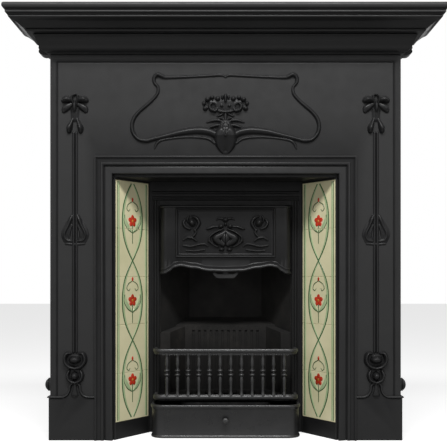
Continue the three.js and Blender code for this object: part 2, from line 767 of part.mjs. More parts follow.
for (const [side, sign] of sides) {
  piece(`tile_tray_${side}`, tray(sign), castIron());
  const panel = new THREE.Group();
  const [x, y] = onFace(tileSize / 2, 0);
  panel.position.set(sign * x, y, tileBase);
  panel.rotation.z = sign > 0 ? Math.PI - splay : Math.PI + splay;
  fireplace.add(panel);
  for (let row = 0; row < tilesHigh; row++) {
    const tile = piece(`tile_${side}_${row + 1}`, tileGeometry(), glazedTile(), panel);
    tile.position.z = (row + 0.5) * tileSize;
  }
  for (const [i, z] of clampHeights.entries()) {
    const seat = panelFlangeFront + thinWall + gap;
    bolt(`frame_bolt_${side}_${i + 1}`, [sign * clampX, seat, z], seat + boltBite);
  }
}

// The soffit closes the recess above the tiles and is clamped behind the plate.
const insetHalf = onFace(tileSize, 0)[0] + insetOverlap;
function soffit() {
  const z = trayHeight + gap;
  const front = panelFlangeFront;
  const frontHalf = plateCutHalf - 12;
  const floor = standing(
    [[-frontHalf, front], [frontHalf, front], [insetHalf, insetDepth - gap], [-insetHalf, insetDepth - gap]],
    z,
    z + thinWall,
  );
  const upstand = block(-frontHalf, frontHalf, front, front + thinWall, z, soffitBoltHeight + 12);
  const holes = sides.map(([, side]) =>
    rod("y", holeRadius, 30, [side * soffitBoltX, front, soffitBoltHeight]));
  return cut(join(floor, upstand), holes);
}
piece("recess_soffit", soffit(), castIron());
for (const [side, sign] of sides) {
  const seat = panelFlangeFront + thinWall + gap;
  bolt(`soffit_bolt_${side}`, [sign * soffitBoltX, seat, soffitBoltHeight], seat + boltBite);
}

// ---- Inset ----
const hoodTop = fireHeight - hoodClearance;
const hoodBottom = hoodTop - hoodHeight;
const hoodHalf = fireHalf - hoodClearance;
const hoodFront = insetDepth - hoodProud;
const hoodPanelFoot = hoodTop - hoodPanelDrop - hoodPanelHeight;
const earFoot = fireboxHeight + 2 * gap; // clear of the casing's flange
const hoodBoltX = 120;
const hoodBoltHeight = fireHeight + 13;
const casingInner = hoodHalf + gap;
const casingBoltX = casingInner + thinWall + 20;
const casingBoltHeights = [200, 600];
const restTop = grateHeight - gap;

function inset() {
  const sheet = upright(
    [[-insetHalf, 0], [-fireHalf, 0], [-fireHalf, fireHeight], [fireHalf, fireHeight], [fireHalf, 0],
      [insetHalf, 0], [insetHalf, openingHeight], [-insetHalf, openingHeight]],
    insetDepth,
    insetBack,
  );
  const tileEdge = onFace(tileSize + gap + trayLip, 0)[0];
  const reedPitch = (tileEdge - fireHalf) / (reedCount + 0.5);
  const reedTop = headerBeadHeight - 30;
  const reeds = sides.flatMap(([, side]) => {
    const made = [];
    for (let i = 0; i < reedCount; i++) {
      const x = side * (fireHalf + reedPitch * (i + 0.6));
      const width = reedPitch * 0.8;
      made.push(rib([[x, 2, width, beadRadius], [x, reedTop, width, beadRadius]], insetDepth));
    }
    return made;
  });
  const beadEnd = tileEdge - trayLip - 1;
  const headerBead = rib([[-beadEnd, headerBeadHeight, 9, 5], [beadEnd, headerBeadHeight, 9, 5]], insetDepth);
  const rests = sides.map(([, side]) => {
    const inner = side * (fireHalf - restInner);
    const [x0, x1] = inOrder(inner, inner + side * restReach);
    return block(x0, x1, insetDepth - restReach, insetDepth + 1, restTop - restThickness, restTop);
  });
  const holes = [
    ...sides.map(([, side]) => [side * hoodBoltX, hoodBoltHeight]),
    ...sides.flatMap(([, side]) => casingBoltHeights.map((z) => [side * casingBoltX, z])),
  ].map(([x, z]) => rod("y", holeRadius, 2 * (boltBite + gap), [x, insetBack, z]));
  return cut(join(sheet, reeds, headerBead, rests), holes);
}
piece("inset_frame", inset(), castIron());

// The hood is a shell, open below and behind; it hangs by a flange behind the header.
function hoodPlan(half, front, round) {
  const shape = new THREE.Shape();
  shape.moveTo(-half, insetBack + gap);
  shape.lineTo(-half, front + round);
  shape.absarc(-half + round, front + round, round, Math.PI, Math.PI * 1.5);
  shape.lineTo(half - round, front);
  shape.absarc(half - round, front + round, round, -Math.PI / 2, 0);
  shape.lineTo(half, insetBack + gap);
  return shape;
}

function hood() {
  const outer = standing(hoodPlan(hoodHalf, hoodFront, hoodRound), hoodBottom, hoodTop);
  const hollowPlan = hoodPlan(hoodHalf - thinWall, hoodFront + thinWall, hoodRound - thinWall);
  const hollow = standing(hollowPlan, hoodBottom - 1, hoodTop - thinWall);
  const innerHalf = hoodHalf - thinWall;
  const ceiling = hoodTop - thinWall;
  const throat = block(-innerHalf, innerHalf, insetDepth, insetBack + 1, hoodBottom - 1, ceiling);
  const shell = cut(outer, hollow, throat, hoodEdge());

  // The flange closes the joint behind the header and, above the casing, behind the jambs.
  const [flangeFront, flangeBack] = [insetBack + gap, insetBack + gap + thinWall];
  const flangeHalf = hoodHalf + hoodFlange;
  const flange = block(-flangeHalf, flangeHalf, flangeFront, flangeBack, ceiling, hoodTop + hoodFlange);
  const tie = block(-innerHalf, innerHalf, insetDepth, flangeFront + 1, ceiling, hoodTop);
  const ears = sides.flatMap(([, side]) => [
    block(...inOrder(side * innerHalf, side * flangeHalf), flangeFront, flangeBack, earFoot, hoodTop),
    block(...inOrder(side * innerHalf, side * hoodHalf), insetDepth, flangeFront + 1, earFoot, hoodTop),
  ]);

  const [half, foot, top] = [hoodPanelWidth / 2, hoodPanelFoot, hoodTop - hoodPanelDrop];
  const b = hoodPanelBead;
  const panelRing = outline([[-half, foot], [half, foot], [half, top], [-half, top]]);
  const inside = [[-half + b, foot + b], [-half + b, top - b], [half - b, top - b], [half - b, foot + b]];
  panelRing.holes.push(outline(inside));
  const bead = upright(panelRing, hoodFront - 3, hoodFront + 1);
  const holes = sides.map(([, side]) =>
    rod("y", holeRadius, 30, [side * hoodBoltX, insetBack, hoodBoltHeight]));
  return cut(join(shell, tie, flange, ears, bead, hoodRelief()), holes);
}

// What is cut from the hood's lower edge: it dips at the middle and at both wings.
function hoodEdge() {
  const span = hoodHalf - 20;
  const at = (x, share) => new THREE.Vector2(x, hoodBottom + hoodArch * share);
  const edge = new THREE.Shape();
  edge.moveTo(-span, hoodBottom - 5);
  edge.lineTo(-span, hoodBottom);
  edge.splineThru([
    at(-span + 18, 0.7), at(-span + 42, 1), at(-span + 90, 0.7), at(-50, 0.4),
    at(50, 0.4), at(span - 90, 0.7), at(span - 42, 1), at(span - 18, 0.7), at(span, 0),
  ]);
  edge.lineTo(span, hoodBottom - 5);
  return upright(edge, hoodFront - 1, hoodFront + hoodRound + 1);
}

// Flowers, leaves and a full heart on the hood's panel, as shares of half its width and height.
function hoodRelief() {
  const middle = hoodPanelFoot + hoodPanelHeight / 2;
  const size = [hoodPanelWidth, hoodPanelHeight / 2];
  const proud = ornamentProud;
  const strokes = [
    [[0.82, 0.57], [0.86, 0.42], [0.82, 0.24], [0.74, 0.17]],
    [[0.68, 0.67], [0.59, 0.6], [0.55, 0.4], [0.6, 0.2], [0.61, 0], [0.72, -0.24]],
    [[0.62, -0.34], [0.7, -0.2], [0.86, -0.32]],
    [[0.86, -0.54], [0.7, -0.57], [0.52, -0.48], [0.35, -0.55]],
    [[0.15, 0.25], [0.25, 0.24], [0.38, 0.18]],
    [[0.05, 0.16], [0.17, 0.04], [0.33, -0.2], [0.33, -0.42], [0.2, -0.54]],
  ];
  const bosses = [
    [0.7, 0.44, 10, 13], [0.1, 0.26, 8, 8], [0.1, -0.2, 15, 19], [0.33, -0.33, 6, 7], [0.08, -0.63, 9, 6],
  ];
  const place = (side, share) => spread([0, middle], size, side, [share])[0];
  const bud = boss(place(1, [0, 0.57]), 8, proud * 1.2, hoodFront);
  return [bud, ...sides.flatMap(([, side]) => [
    ...strokes.map((shares) => flowingRib(spread([0, middle], size, side, shares),
      { width: 9, height: proud, steps: 2 * shares.length, taper: 0.5, face: hoodFront })),
    ...bosses.map(([x, z, wide, tall]) => boss(place(side, [x, z]), wide, proud * 1.3, hoodFront, tall)),
  ])];
}
piece("hood", hood(), castIron());
for (const [side, sign] of sides) {
  const seat = insetBack + 2 * gap + thinWall;
  bolt(`hood_bolt_${side}`, [sign * hoodBoltX, seat, hoodBoltHeight], seat - insetBack + boltBite);
  for (const [i, z] of casingBoltHeights.entries()) {
    bolt(`casing_bolt_${side}_${i + 1}`, [sign * casingBoltX, seat, z], seat - insetBack + boltBite);
  }
}

// ---- Firebox ----
const casingBend = casingFront + casingStraight;
const backHalf = fireboxBackWidth / 2;
const casingInnerAt = (y) =>
  THREE.MathUtils.mapLinear(Math.max(y, casingBend), casingBend, fireboxBack, casingInner, backHalf);
const backBrickFront = fireboxBack - backBrickDepth;

function casing() {
  const t = thinWall;
  const end = casingInner + casingFlange;
  const right = [
    [casingInner, casingFront], [end, casingFront], [end, casingFront + t],
    [casingInner + t, casingFront + t], [casingInner + t, casingBend], [backHalf + t, fireboxBack + t],
  ];
  const inner = [[-casingInner, casingFront], [-casingInner, casingBend], [-backHalf, fireboxBack],
    [backHalf, fireboxBack], [casingInner, casingBend]];
  const plan = [...right, ...mirrorX(right).reverse(), ...inner.slice(1)];
  const holes = sides.flatMap(([, side]) =>
    casingBoltHeights.map((z) => rod("y", holeRadius, 30, [side * casingBoltX, insetBack, z])));
  return cut(standing(plan, 0, fireboxHeight), holes);
}
piece("firebox_casing", casing(), sootedIron());

function backBrick() {
  const toeHeight = grateHeight - gap;
  const side = sideways(
    [[backBrickFront - brickToe, brickBase], [fireboxBack - gap, brickBase],
      [fireboxBack - gap, backBrickHeight + backBrickSlope], [backBrickFront, backBrickHeight],
      [backBrickFront, toeHeight], [backBrickFront - brickToe, toeHeight]],
    -casingInner,
    casingInner,
  );
  const toeAt = (y) => casingInnerAt(y) - brickThickness - 2 * gap;
  const wallAt = (y) => casingInnerAt(y) - gap;
  const right = [
    [toeAt(backBrickFront - brickToe), backBrickFront - brickToe - 1],
    [toeAt(backBrickFront), backBrickFront],
    [wallAt(backBrickFront), backBrickFront],
    [wallAt(fireboxBack), fireboxBack],
  ];
  const body = side.intersect(standing([...right, ...mirrorX(right).reverse()], 0, fireboxHeight));
  const pitch = ribPanelWidth / ribCount;
  const grooves = [];
  for (let i = 0; i < ribCount; i++) {
    const x = (i - (ribCount - 1) / 2) * pitch;
    grooves.push(block(x - pitch * 0.22, x + pitch * 0.22, backBrickFront - 1, backBrickFront + ribDepth,
      grateHeight + grateThickness + 2, backBrickHeight - ribPanelTop));
  }
  return cut(body, grooves);
}
piece("fireback", backBrick(), sootedIron());

function cheekBrick(side) {
  const end = backBrickFront - gap;
  const outerAt = (y) => casingInnerAt(y) - gap;
  const innerAt = (y) => outerAt(y) - brickThickness;
  const plan = [
    [outerAt(casingFront), casingFront], [outerAt(casingBend), casingBend], [outerAt(end), end],
    [innerAt(end), end], [innerAt(casingBend), casingBend], [innerAt(casingFront), casingFront],
  ].map(([x, y]) => [side * x, y]);
  const slope = sideways(
    [[casingFront - 1, brickBase], [end + 1, brickBase], [end + 1, backBrickHeight - 4],
      [casingFront - 1, cheekBrickHeight]],
    -casingInner,
    casingInner,
  );
  return standing(plan, 0, fireboxHeight).intersect(slope);
}
for (const [side, sign] of sides) piece(`fire_cheek_${side}`, cheekBrick(sign), sootedIron());

// The bottom grate rests on the two brackets of the inset and on the fireback's toe.
function bottomGrate() {
  const front = insetDepth - barsProud + railDepth + 2;
  const wide = barsWidth / 2 - railDepth - 7;
  const neck = casingInner - brickThickness - 3;
  const back = backBrickFront - 2 * gap;
  const backX = casingInnerAt(back) - brickThickness - 4;
  const corner = barsCorner - railDepth;
  const right = [
    [wide - corner, front], [wide - corner * 0.3, front + corner * 0.3], [wide, front + corner],
    [wide, insetDepth - 2], [neck, insetDepth - 2], [neck, casingBend], [backX, back],
  ];
  const sheet = standing([...right, ...mirrorX(right).reverse()], grateHeight, grateHeight + grateThickness);
  const pitch = (2 * backX) / grateSlots;
  const slots = [];
  for (let i = 0; i < grateSlots; i++) {
    const x = (i - (grateSlots - 1) / 2) * pitch;
    slots.push(block(x - grateSlotWidth / 2, x + grateSlotWidth / 2, front + 14, back - 14, 0, barsTop));
  }
  return cut(sheet, slots);
}
piece("bottom_grate", bottomGrate(), sootedIron());

// ---- Front bars ----
const barsFront = insetDepth - barsProud;
const barsHalf = barsWidth / 2;
const railEnd = insetDepth - beadRadius - 2 * gap; // clear of the reeds

function frontBars() {
  const top = barsTop;
  const foot = barsTop - railHeight;
  const upperRail = [
    [-railDepth, foot + 2], [-railDepth, top], [-1.5, top], [1, top - 2.5], [1, top - 7], [-1.5, top - 9],
    [-1.5, foot + 5], [-3, foot + 1], [-railDepth + 3, foot],
  ];
  const low = grateHeight;
  const lowTop = grateHeight + lowerRailHeight;
  const lowerRail = [
    [-railDepth, low], [-railDepth, lowTop], [-3, lowTop], [0, lowTop - 4], [0, low + 4], [-3, low],
  ];
  const rails = [upperRail, lowerRail].map((section) =>
    roundFront(section, barsHalf, barsFront, barsCorner, railEnd));
  const length = foot - lowTop;
  const unit = length / 126;
  const swell = balusterRadius;
  const turned = [
    [0, -4], [5.5, -4], [3.8, 7], [5.2, 50], [3.6, 57], [swell, 61], [swell, 66], [4, 70],
    [swell, 74], [swell, 79], [3.5, 85], [3.8, 112], [5.5, 130], [0, 130],
  ].map(([r, z]) => new THREE.Vector2(r, z * unit));
  const balusters = [];
  for (let i = 0; i < balusterCount; i++) {
    const x = (i / (balusterCount - 1) - 0.5) * balusterSpan;
    const baluster = new THREE.LatheGeometry(turned, 6);
    baluster.rotateX(Math.PI / 2);
    baluster.translate(x, barsFront + railDepth / 2, lowTop);
    balusters.push(solid(baluster));
  }
  return join(rails, balusters);
}
piece("front_bars", frontBars(), castIron());

// ---- Ash drawer ----
const coverFront = insetDepth - coverProud;
function ashCover() {
  const [foot, top, t] = [slidingGap, coverHeight, coverWall];
  const lip = coverLipHeight;
  const section = [
    [-t, foot], [coverBeadProud - 1, foot], [coverBeadProud, foot + 2], [coverBeadProud, foot + 5],
    [0, foot + 8], [0, top - lip], [coverLipProud, top - lip + 2], [coverLipProud, top - 2],
    [coverLipProud - 2, top], [-t, top],
  ];
  return roundFront(section, coverWidth / 2, coverFront, coverCorner, railEnd);
}
piece("ash_cover", ashCover(), castIron());

const knobProfile = [
  [0, 0], [6, 0], [5, 5], [5, 9], [knobRadius, 12], [knobRadius, knobReach - 3],
  [knobRadius * 0.6, knobReach], [0, knobReach],
].map(([r, h]) => new THREE.Vector2(r, h));
const knob = piece("ash_cover_knob", solid(new THREE.LatheGeometry(knobProfile, 12)), castIron());
knob.rotation.x = Math.PI;
knob.position.set(0, coverFront - gap, knobHeight);

function ashPan() {
  const front = coverFront + coverWall + gap;
  const [x, t] = [panWidth / 2, panWall];
  const foot = 2 * slidingGap;
  const whole = block(-x, x, front, front + panDepth, foot, foot + panHeight);
  return cut(whole, block(-x + t, x - t, front + t, front + panDepth - t, foot + t, foot + panHeight + 1));
}
piece("ash_pan", ashPan(), boltSteel());

// ---- Damper ----
const registerFront = casingFront + thinWall + gap;
const registerFoot = fireboxHeight + gap;
const registerTop = registerFoot + registerThickness;
const pivotY = insetBack + damperPivotSetback;
const pivotZ = registerTop + trunnionRadius + 2 * gap;
const flueFront = pivotY + 13;
const earInner = flueWidth / 2 + flapOverlap + 4;

// The register plate closes the firebox's top round the flue opening; the damper turns in its two ears.
function registerPlate() {
  const right = [[casingInner + thinWall, registerFront], [backHalf + thinWall, fireboxBack + thinWall]];
  const shape = outline([...right, ...mirrorX(right).reverse()]);
  const sheet = standing(shape, registerFoot, registerTop);
  const flue = block(-flueWidth / 2, flueWidth / 2, flueFront, flueFront + flueDepth, 0, shelfTop);
  const notch = block(-armWidth, armWidth, registerFront - 1, flueFront + 1, 0, shelfTop);
  const ears = sides.map(([, side]) => {
    const [x0, x1] = [side * earInner, side * (earInner + earThickness)].sort((a, b) => a - b);
    const ear = block(x0, x1, pivotY - 10, pivotY + 10, registerTop - 1, pivotZ + 11);
    return cut(ear, rod("x", trunnionRadius + 1, 4 * earThickness, [side * earInner, pivotY, pivotZ], 12));
  });
  return join(cut(sheet, flue, notch), ears);
}
piece("register_plate", registerPlate(), sootedIron());

const flapFoot = registerTop + gap;
function damperFlap() {
  const half = flueWidth / 2 + flapOverlap;
  const flapTop = flapFoot + flapThickness;
  const flap = block(-half, half, pivotY, flueFront + flueDepth + flapOverlap, flapFoot, flapTop);
  const trunnions = rod("x", trunnionRadius, 2 * (earInner + earThickness + 3), [0, pivotY, pivotZ], 12);
  const tongue = block(-armWidth / 2, armWidth / 2, registerFront - 12, pivotY + 1, flapFoot, flapTop);
  return join(flap, trunnions, tongue);
}
piece("damper_flap", damperFlap(), sootedIron());

// The arm hangs from the flap's tongue and ends in the tab that shows below the hood.
function damperHandle() {
  const top = flapFoot - gap;
  const tabTop = hoodBottom + tabDrop;
  const tabFoot = tabTop - tabHeight;
  const back = registerFront - 3;
  const tabBack = hoodFront + thinWall + 14;
  const arm = sideways(
    [[back - armThickness, top], [back, top], [tabBack, tabTop - 2], [tabBack, tabFoot + 4],
      [tabBack - armThickness, tabFoot + 4], [tabBack - armThickness, tabTop - 2]],
    -armWidth / 2,
    armWidth / 2,
  );
  const half = tabWidth / 2;
  const tab = upright(
    [[-half, tabTop], [-half + 3, tabTop - 6], [-half + 12, tabFoot + 2], [-half + 20, tabFoot],
      [half - 20, tabFoot], [half - 12, tabFoot + 2], [half - 3, tabTop - 6], [half, tabTop],
      [half - 8, tabTop], [half - 16, tabTop - 5], [-half + 16, tabTop - 5], [-half + 8, tabTop]],
    tabBack - tabThickness,
    tabBack,
  );
  return join(arm, tab);
}
piece("damper_handle", damperHandle(), castIron());

// The whole is placed so that the middle of its depth lies over the origin.
fireplace.position.y = (shelfOverhang - rearReach) / 2;

export default new THREE.Group().add(fireplace);
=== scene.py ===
import json
import math

import bmesh
import bpy
import numpy as np
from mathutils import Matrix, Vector


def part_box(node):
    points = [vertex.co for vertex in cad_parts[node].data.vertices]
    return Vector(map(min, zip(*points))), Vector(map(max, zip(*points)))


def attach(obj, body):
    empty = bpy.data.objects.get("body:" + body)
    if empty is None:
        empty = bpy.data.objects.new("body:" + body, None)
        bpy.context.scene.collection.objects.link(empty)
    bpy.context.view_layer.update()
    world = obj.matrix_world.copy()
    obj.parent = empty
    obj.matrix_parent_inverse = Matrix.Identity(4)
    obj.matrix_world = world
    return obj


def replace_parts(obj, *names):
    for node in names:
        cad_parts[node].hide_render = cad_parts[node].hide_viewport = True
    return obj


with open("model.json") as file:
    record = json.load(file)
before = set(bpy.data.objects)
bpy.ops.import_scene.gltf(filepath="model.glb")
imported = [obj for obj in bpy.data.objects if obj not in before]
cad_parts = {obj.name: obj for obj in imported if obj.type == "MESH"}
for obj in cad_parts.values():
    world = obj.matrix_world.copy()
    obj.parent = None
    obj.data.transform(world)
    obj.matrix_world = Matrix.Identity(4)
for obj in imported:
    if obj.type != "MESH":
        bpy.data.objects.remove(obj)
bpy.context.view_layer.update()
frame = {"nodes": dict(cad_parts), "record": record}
nodes = frame["nodes"]

# Shapes are given in mm: x to the right, depth back from the surround's face, z up from the floor.
# They become metres in the frame's own X, Y and Z when a mesh is made.
surroundDepth = 90  # from the surround's face to the wall, where it ends
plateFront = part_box("mantel_front")[1].y - surroundDepth / 1000
sides = (("left", -1), ("right", 1))


def place(x, depth, z):
    return (x / 1000, plateFront + depth / 1000, z / 1000)


# Camera: the viewer stands square to the fireplace, low down; the lens shift keeps the uprights upright
camera = {
    "distance": 2.537,  # from the surround's face, in metres
    "eyeHeight": 0.516,
    "lens": 65.4,
    "shiftX": -0.0045,
    "shiftY": 0.121,
    "sensor": 36,
    "near": 0.05,
    "far": 60,
}


def makeCamera():
    data = bpy.data.cameras.new("camera")
    data.lens = camera["lens"]
    data.sensor_width = camera["sensor"]
    data.shift_x = camera["shiftX"]
    data.shift_y = camera["shiftY"]
    data.clip_start = camera["near"]
    data.clip_end = camera["far"]
    cam = bpy.data.objects.new("camera", data)
    cam.location = (0, plateFront - camera["distance"], camera["eyeHeight"])
    cam.rotation_euler = (math.radians(90), 0, 0)
    bpy.context.collection.objects.link(cam)
    bpy.context.scene.camera = cam


makeCamera()

# Studio: soft lamps at both sides and a broad one overhead, white paper behind and below
studio = {
    "lamps": {  # power, size, place and the point it faces
        "softLampLeft": (5, (0.5, 1.4), (-1.75, -2.7, 1.35), (0, 0, 0.7)),
        "softLampRight": (5, (0.5, 1.4), (1.75, -2.7, 1.35), (0, 0, 0.7)),
        "softLampTop": (125, (2.2, 0.5), (0, -1.9, 3.1), (0, 0, 0.8)),
    },
    "worldLight": 0.27,
    "floorReach": 12,
    "floorGlow": 0.66,  # what the paper shows of itself; the lamps and the shadow come on top
    "floorGrey": 0.5,
}


def makeLamp(name, power, size, position, target):
    data = bpy.data.lights.new(name, "AREA")
    data.energy = power
    data.shape = "RECTANGLE"
    data.size, data.size_y = size
    lamp = bpy.data.objects.new(name, data)
    lamp.location = position
    lamp.rotation_euler = (Vector(target) - Vector(position)).to_track_quat("-Z", "Y").to_euler()
    bpy.context.collection.objects.link(lamp)


def newNodes(tree, *kinds):
    return [tree.nodes.new("ShaderNode" + kind) for kind in kinds]


def wire(node, rows):  # another node's output is linked to the input, a plain value is set on it
    for name, value in rows.items():
        if isinstance(value, bpy.types.NodeSocket):
            node.id_data.links.new(value, node.inputs[name])
        else:
            node.inputs[name].default_value = value


def whiteToEye(tree, path):  # 1 for rays from the camera, for mirrored ones and for those through glass
    either, most = newNodes(tree, "Math", "Math")
    either.operation = most.operation = "MAXIMUM"
    wire(either, {0: path.outputs["Is Camera Ray"], 1: path.outputs["Is Glossy Ray"]})
    wire(most, {0: either.outputs[0], 1: path.outputs["Is Transmission Ray"]})
    return most.outputs[0]


def makeWorld():
    world = bpy.data.worlds.new("studio")
    world.use_nodes = True
    bpy.context.scene.world = world
    tree = world.node_tree
    tree.nodes.clear()
    out, mix, light, seen, path = newNodes(
        tree, "OutputWorld", "MixShader", "Background", "Background", "LightPath")
    wire(light, {"Strength": studio["worldLight"], "Color": (1, 1, 1, 1)})
    wire(seen, {"Strength": 1, "Color": (1, 1, 1, 1)})
    wire(mix, {"Fac": whiteToEye(tree, path), 1: light.outputs[0], 2: seen.outputs[0]})
    wire(out, {"Surface": mix.outputs[0]})


def makeFloor():
    mesh = bpy.data.meshes.new("floor")
    r = studio["floorReach"]
    mesh.from_pydata([(-r, -r, 0), (r, -r, 0), (r, r, 0), (-r, r, 0)], [], [(0, 1, 2, 3)])
    floor = bpy.data.objects.new("floor", mesh)
    bpy.context.collection.objects.link(floor)
    mat = bpy.data.materials.new("floorPaper")
    mat.use_nodes = True
    tree = mat.node_tree
    tree.nodes.clear()
    out, add, mix, paper, glow, none, path = newNodes(
        tree, "OutputMaterial", "AddShader", "MixShader", "BsdfDiffuse", "Emission", "Emission",
        "LightPath")
    grey = studio["floorGrey"]
    wire(paper, {"Color": (grey, grey, grey, 1)})
    wire(glow, {"Strength": studio["floorGlow"]})
    wire(none, {"Strength": 0})
    wire(mix, {"Fac": path.outputs["Is Camera Ray"], 1: none.outputs[0], 2: glow.outputs[0]})
    wire(add, {0: paper.outputs[0], 1: mix.outputs[0]})
    wire(out, {"Surface": add.outputs[0]})
    mesh.materials.append(mat)


for name, row in studio["lamps"].items():
    makeLamp(name, *row)
makeWorld()
makeFloor()
bpy.context.scene.view_settings.view_transform = "Standard"
print("camera and studio ready")


# Finishes. Each is one node material; colours are linear.
finishes = {
    "irons": {  # black, roughness, specular level and how rubbed the edges are
        "blackenedIron": (0.010, 0.36, 0.17, 0.6),
        "polishedIron": (0.0125, 0.30, 0.44, 0.8),
        # a darker, duller copy of the blackened iron: painted shade of the recess behind the opening
        "recessShadeIron": (0.006, 0.42, 0.16, 0.3),
        "hoodIron": (0.009, 0.34, 0.20, 0.7),
    },
    "grainSize": 900,  # cast grain, per metre
    "grainDepth": 0.00012,
    "sootBlack": 0.017,
    "sootGloss": 0.09,
    "paintedFireBedShade": (0.12, 0.34),  # painted shade of the grate and fire bed: the soot's colour is darkest up to the first height, in metres, and lightens up to the second
    "glazes": {  # colour and how much it deepens where it pools
        "creamGlaze": ((0.62, 0.575, 0.38), 0.12),
        "paleGreenGlaze": ((0.34, 0.44, 0.25), 0.12),
        "darkGreenGlaze": ((0.018, 0.075, 0.022), 0.4),
        "redGlaze": ((0.50, 0.035, 0.016), 0.6),
        "amberGlaze": ((0.50, 0.16, 0.03), 0.6),
    },
    "glazeGloss": 0.35,
    "steelGreys": (0.05, 0.12),
    "steelMetal": 0.85,
}


def startMaterial(name):
    mat = bpy.data.materials.new(name)
    mat.use_nodes = True
    tree = mat.node_tree
    shader = tree.nodes["Principled BSDF"]
    coords, = newNodes(tree, "TexCoord")
    return mat, tree, shader, coords.outputs["Object"]


def addNoise(tree, coords, scale, detail=4, roughness=0.55):
    noise, = newNodes(tree, "TexNoise")
    wire(noise, {"Vector": coords, "Scale": scale, "Detail": detail, "Roughness": roughness})
    return noise.outputs["Fac"]


def addRamp(tree, value, stops):
    ramp, = newNodes(tree, "ValToRGB")
    while len(ramp.color_ramp.elements) < len(stops):
        ramp.color_ramp.elements.new(0.5)
    for element, (position, colour) in zip(ramp.color_ramp.elements, stops):
        element.position = position
        element.color = (*colour, 1)
    wire(ramp, {"Fac": value})
    return ramp.outputs["Color"]


def addRange(tree, value, low, high, start=0.0, end=1.0):
    node, = newNodes(tree, "MapRange")
    wire(node, {"Value": value, "From Min": start, "From Max": end, "To Min": low, "To Max": high})
    return node.outputs["Result"]


def addBump(tree, shader, height, strength, distance):
    bump, = newNodes(tree, "Bump")
    wire(bump, {"Height": height, "Strength": strength, "Distance": distance})
    wire(shader, {"Normal": bump.outputs["Normal"]})


def blackenedIron(name, black, sheen, gloss, wear):
    mat, tree, shader, coords = startMaterial(name)
    cloud = addNoise(tree, coords, 9, 5)
    geometry, mix = newNodes(tree, "NewGeometry", "Mix")
    rubbed = addRange(tree, geometry.outputs["Pointiness"], 0.0, wear, 0.505, 0.60)
    low, high, bare = black * 0.80, black * 1.2, black * 3.2
    body = addRamp(tree, cloud, [(0.3, (low, low, low * 1.03)), (0.75, (high, high, high * 1.03))])
    mix.data_type = "RGBA"
    wire(mix, {"Factor": rubbed, "A": body, "B": (bare, bare, bare, 1)})
    smear = addRange(tree, addNoise(tree, coords, 38, 3), sheen - 0.06, sheen + 0.09, 0.3, 0.7)
    wire(shader, {"Base Color": mix.outputs["Result"], "Roughness": smear, "Specular IOR Level": gloss})
    grain = addNoise(tree, coords, finishes["grainSize"], 3, 0.6)
    addBump(tree, shader, grain, 0.28, finishes["grainDepth"])
    return mat


def sootedIronWithPaintedShade(name):
    mat, tree, shader, coords = startMaterial(name)
    soot = addNoise(tree, coords, 14, 6, 0.65)
    shades = ((0.25, (0.6, 0.6, 0.6)), (0.6, (1.1, 1.05, 1)), (0.85, (2.4, 2.2, 2.0)))
    stops = [(at, [finishes["sootBlack"] * share for share in shade]) for at, shade in shades]
    split, sootWithPaintedShade = newNodes(tree, "SeparateXYZ", "VectorMath")
    wire(split, {"Vector": coords})
    low, high = finishes["paintedFireBedShade"]
    # the soot's colour is scaled down towards the bottom: painted shade of the fire bed
    thin = addRange(tree, split.outputs["Z"], 0.25, 1.0, low, high)
    sootWithPaintedShade.operation = "SCALE"
    wire(sootWithPaintedShade, {0: addRamp(tree, soot, stops), "Scale": thin})
    wire(shader, {"Base Color": sootWithPaintedShade.outputs["Vector"], "Roughness": addRange(tree, soot, 0.85, 0.6),
                  "Specular IOR Level": finishes["sootGloss"]})
    addBump(tree, shader, addNoise(tree, coords, 260, 5), 0.5, 0.0006)
    return mat


def glaze(name, colour, pooling):
    mat, tree, shader, coords = startMaterial(name)
    pool, ripple = addNoise(tree, coords, 9, 3), addNoise(tree, coords, 60, 2)
    thin = tuple(c * (1 + pooling * 0.5) for c in colour)
    deep = tuple(c * (1 - pooling * f) for c, f in zip(colour, (1.0, 0.8, 1.3)))
    wire(shader, {"Base Color": addRamp(tree, pool, [(0.3, deep), (0.7, thin)]),
                  "Roughness": addRange(tree, ripple, 0.16, 0.28),
                  "Specular IOR Level": finishes["glazeGloss"]})
    addBump(tree, shader, ripple, 0.12, 0.0006)
    return mat


def blackenedSteel(name):
    mat, tree, shader, coords = startMaterial(name)
    cloud = addNoise(tree, coords, 70, 4)
    dark, light = finishes["steelGreys"]
    greys = addRamp(tree, cloud, [(0.3, (dark, dark, dark * 1.04)), (0.8, (light, light, light))])
    wire(shader, {"Base Color": greys, "Roughness": addRange(tree, cloud, 0.38, 0.6),
                  "Metallic": finishes["steelMetal"]})
    addBump(tree, shader, addNoise(tree, coords, 700, 2), 0.2, 0.0001)
    return mat


iron, polishedIron, recessShadeIron, hoodIron = (
    blackenedIron(name, *row) for name, row in finishes["irons"].items())
soot = sootedIronWithPaintedShade("sootedIronWithPaintedShade")
creamGlaze, paleGreenGlaze, darkGreenGlaze, redGlaze, amberGlaze = (
    glaze(name, *row) for name, row in finishes["glazes"].items())
steel = blackenedSteel("blackenedSteel")
finishOfSlot = {"iron": iron, "sooted_iron": soot, "tile": creamGlaze, "steel": steel}
print("finishes ready")


# Mesh making. A shape is (points in mm, faces); shapes are gathered and become one piece.
def gather(*shapes):
    points, faces = [], []
    for shapePoints, shapeFaces in shapes:
        start = len(points)
        points.extend(shapePoints)
        faces.extend(tuple(i + start for i in face) for face in shapeFaces)
    return points, faces


def roundEdges(piece, width, angle):  # a small cast round on every edge that is sharper than the angle
    bevel = piece.modifiers.new("castEdge", "BEVEL")
    bevel.width = width
    bevel.segments = 2
    bevel.limit_method = "ANGLE"
    bevel.angle_limit = math.radians(angle)


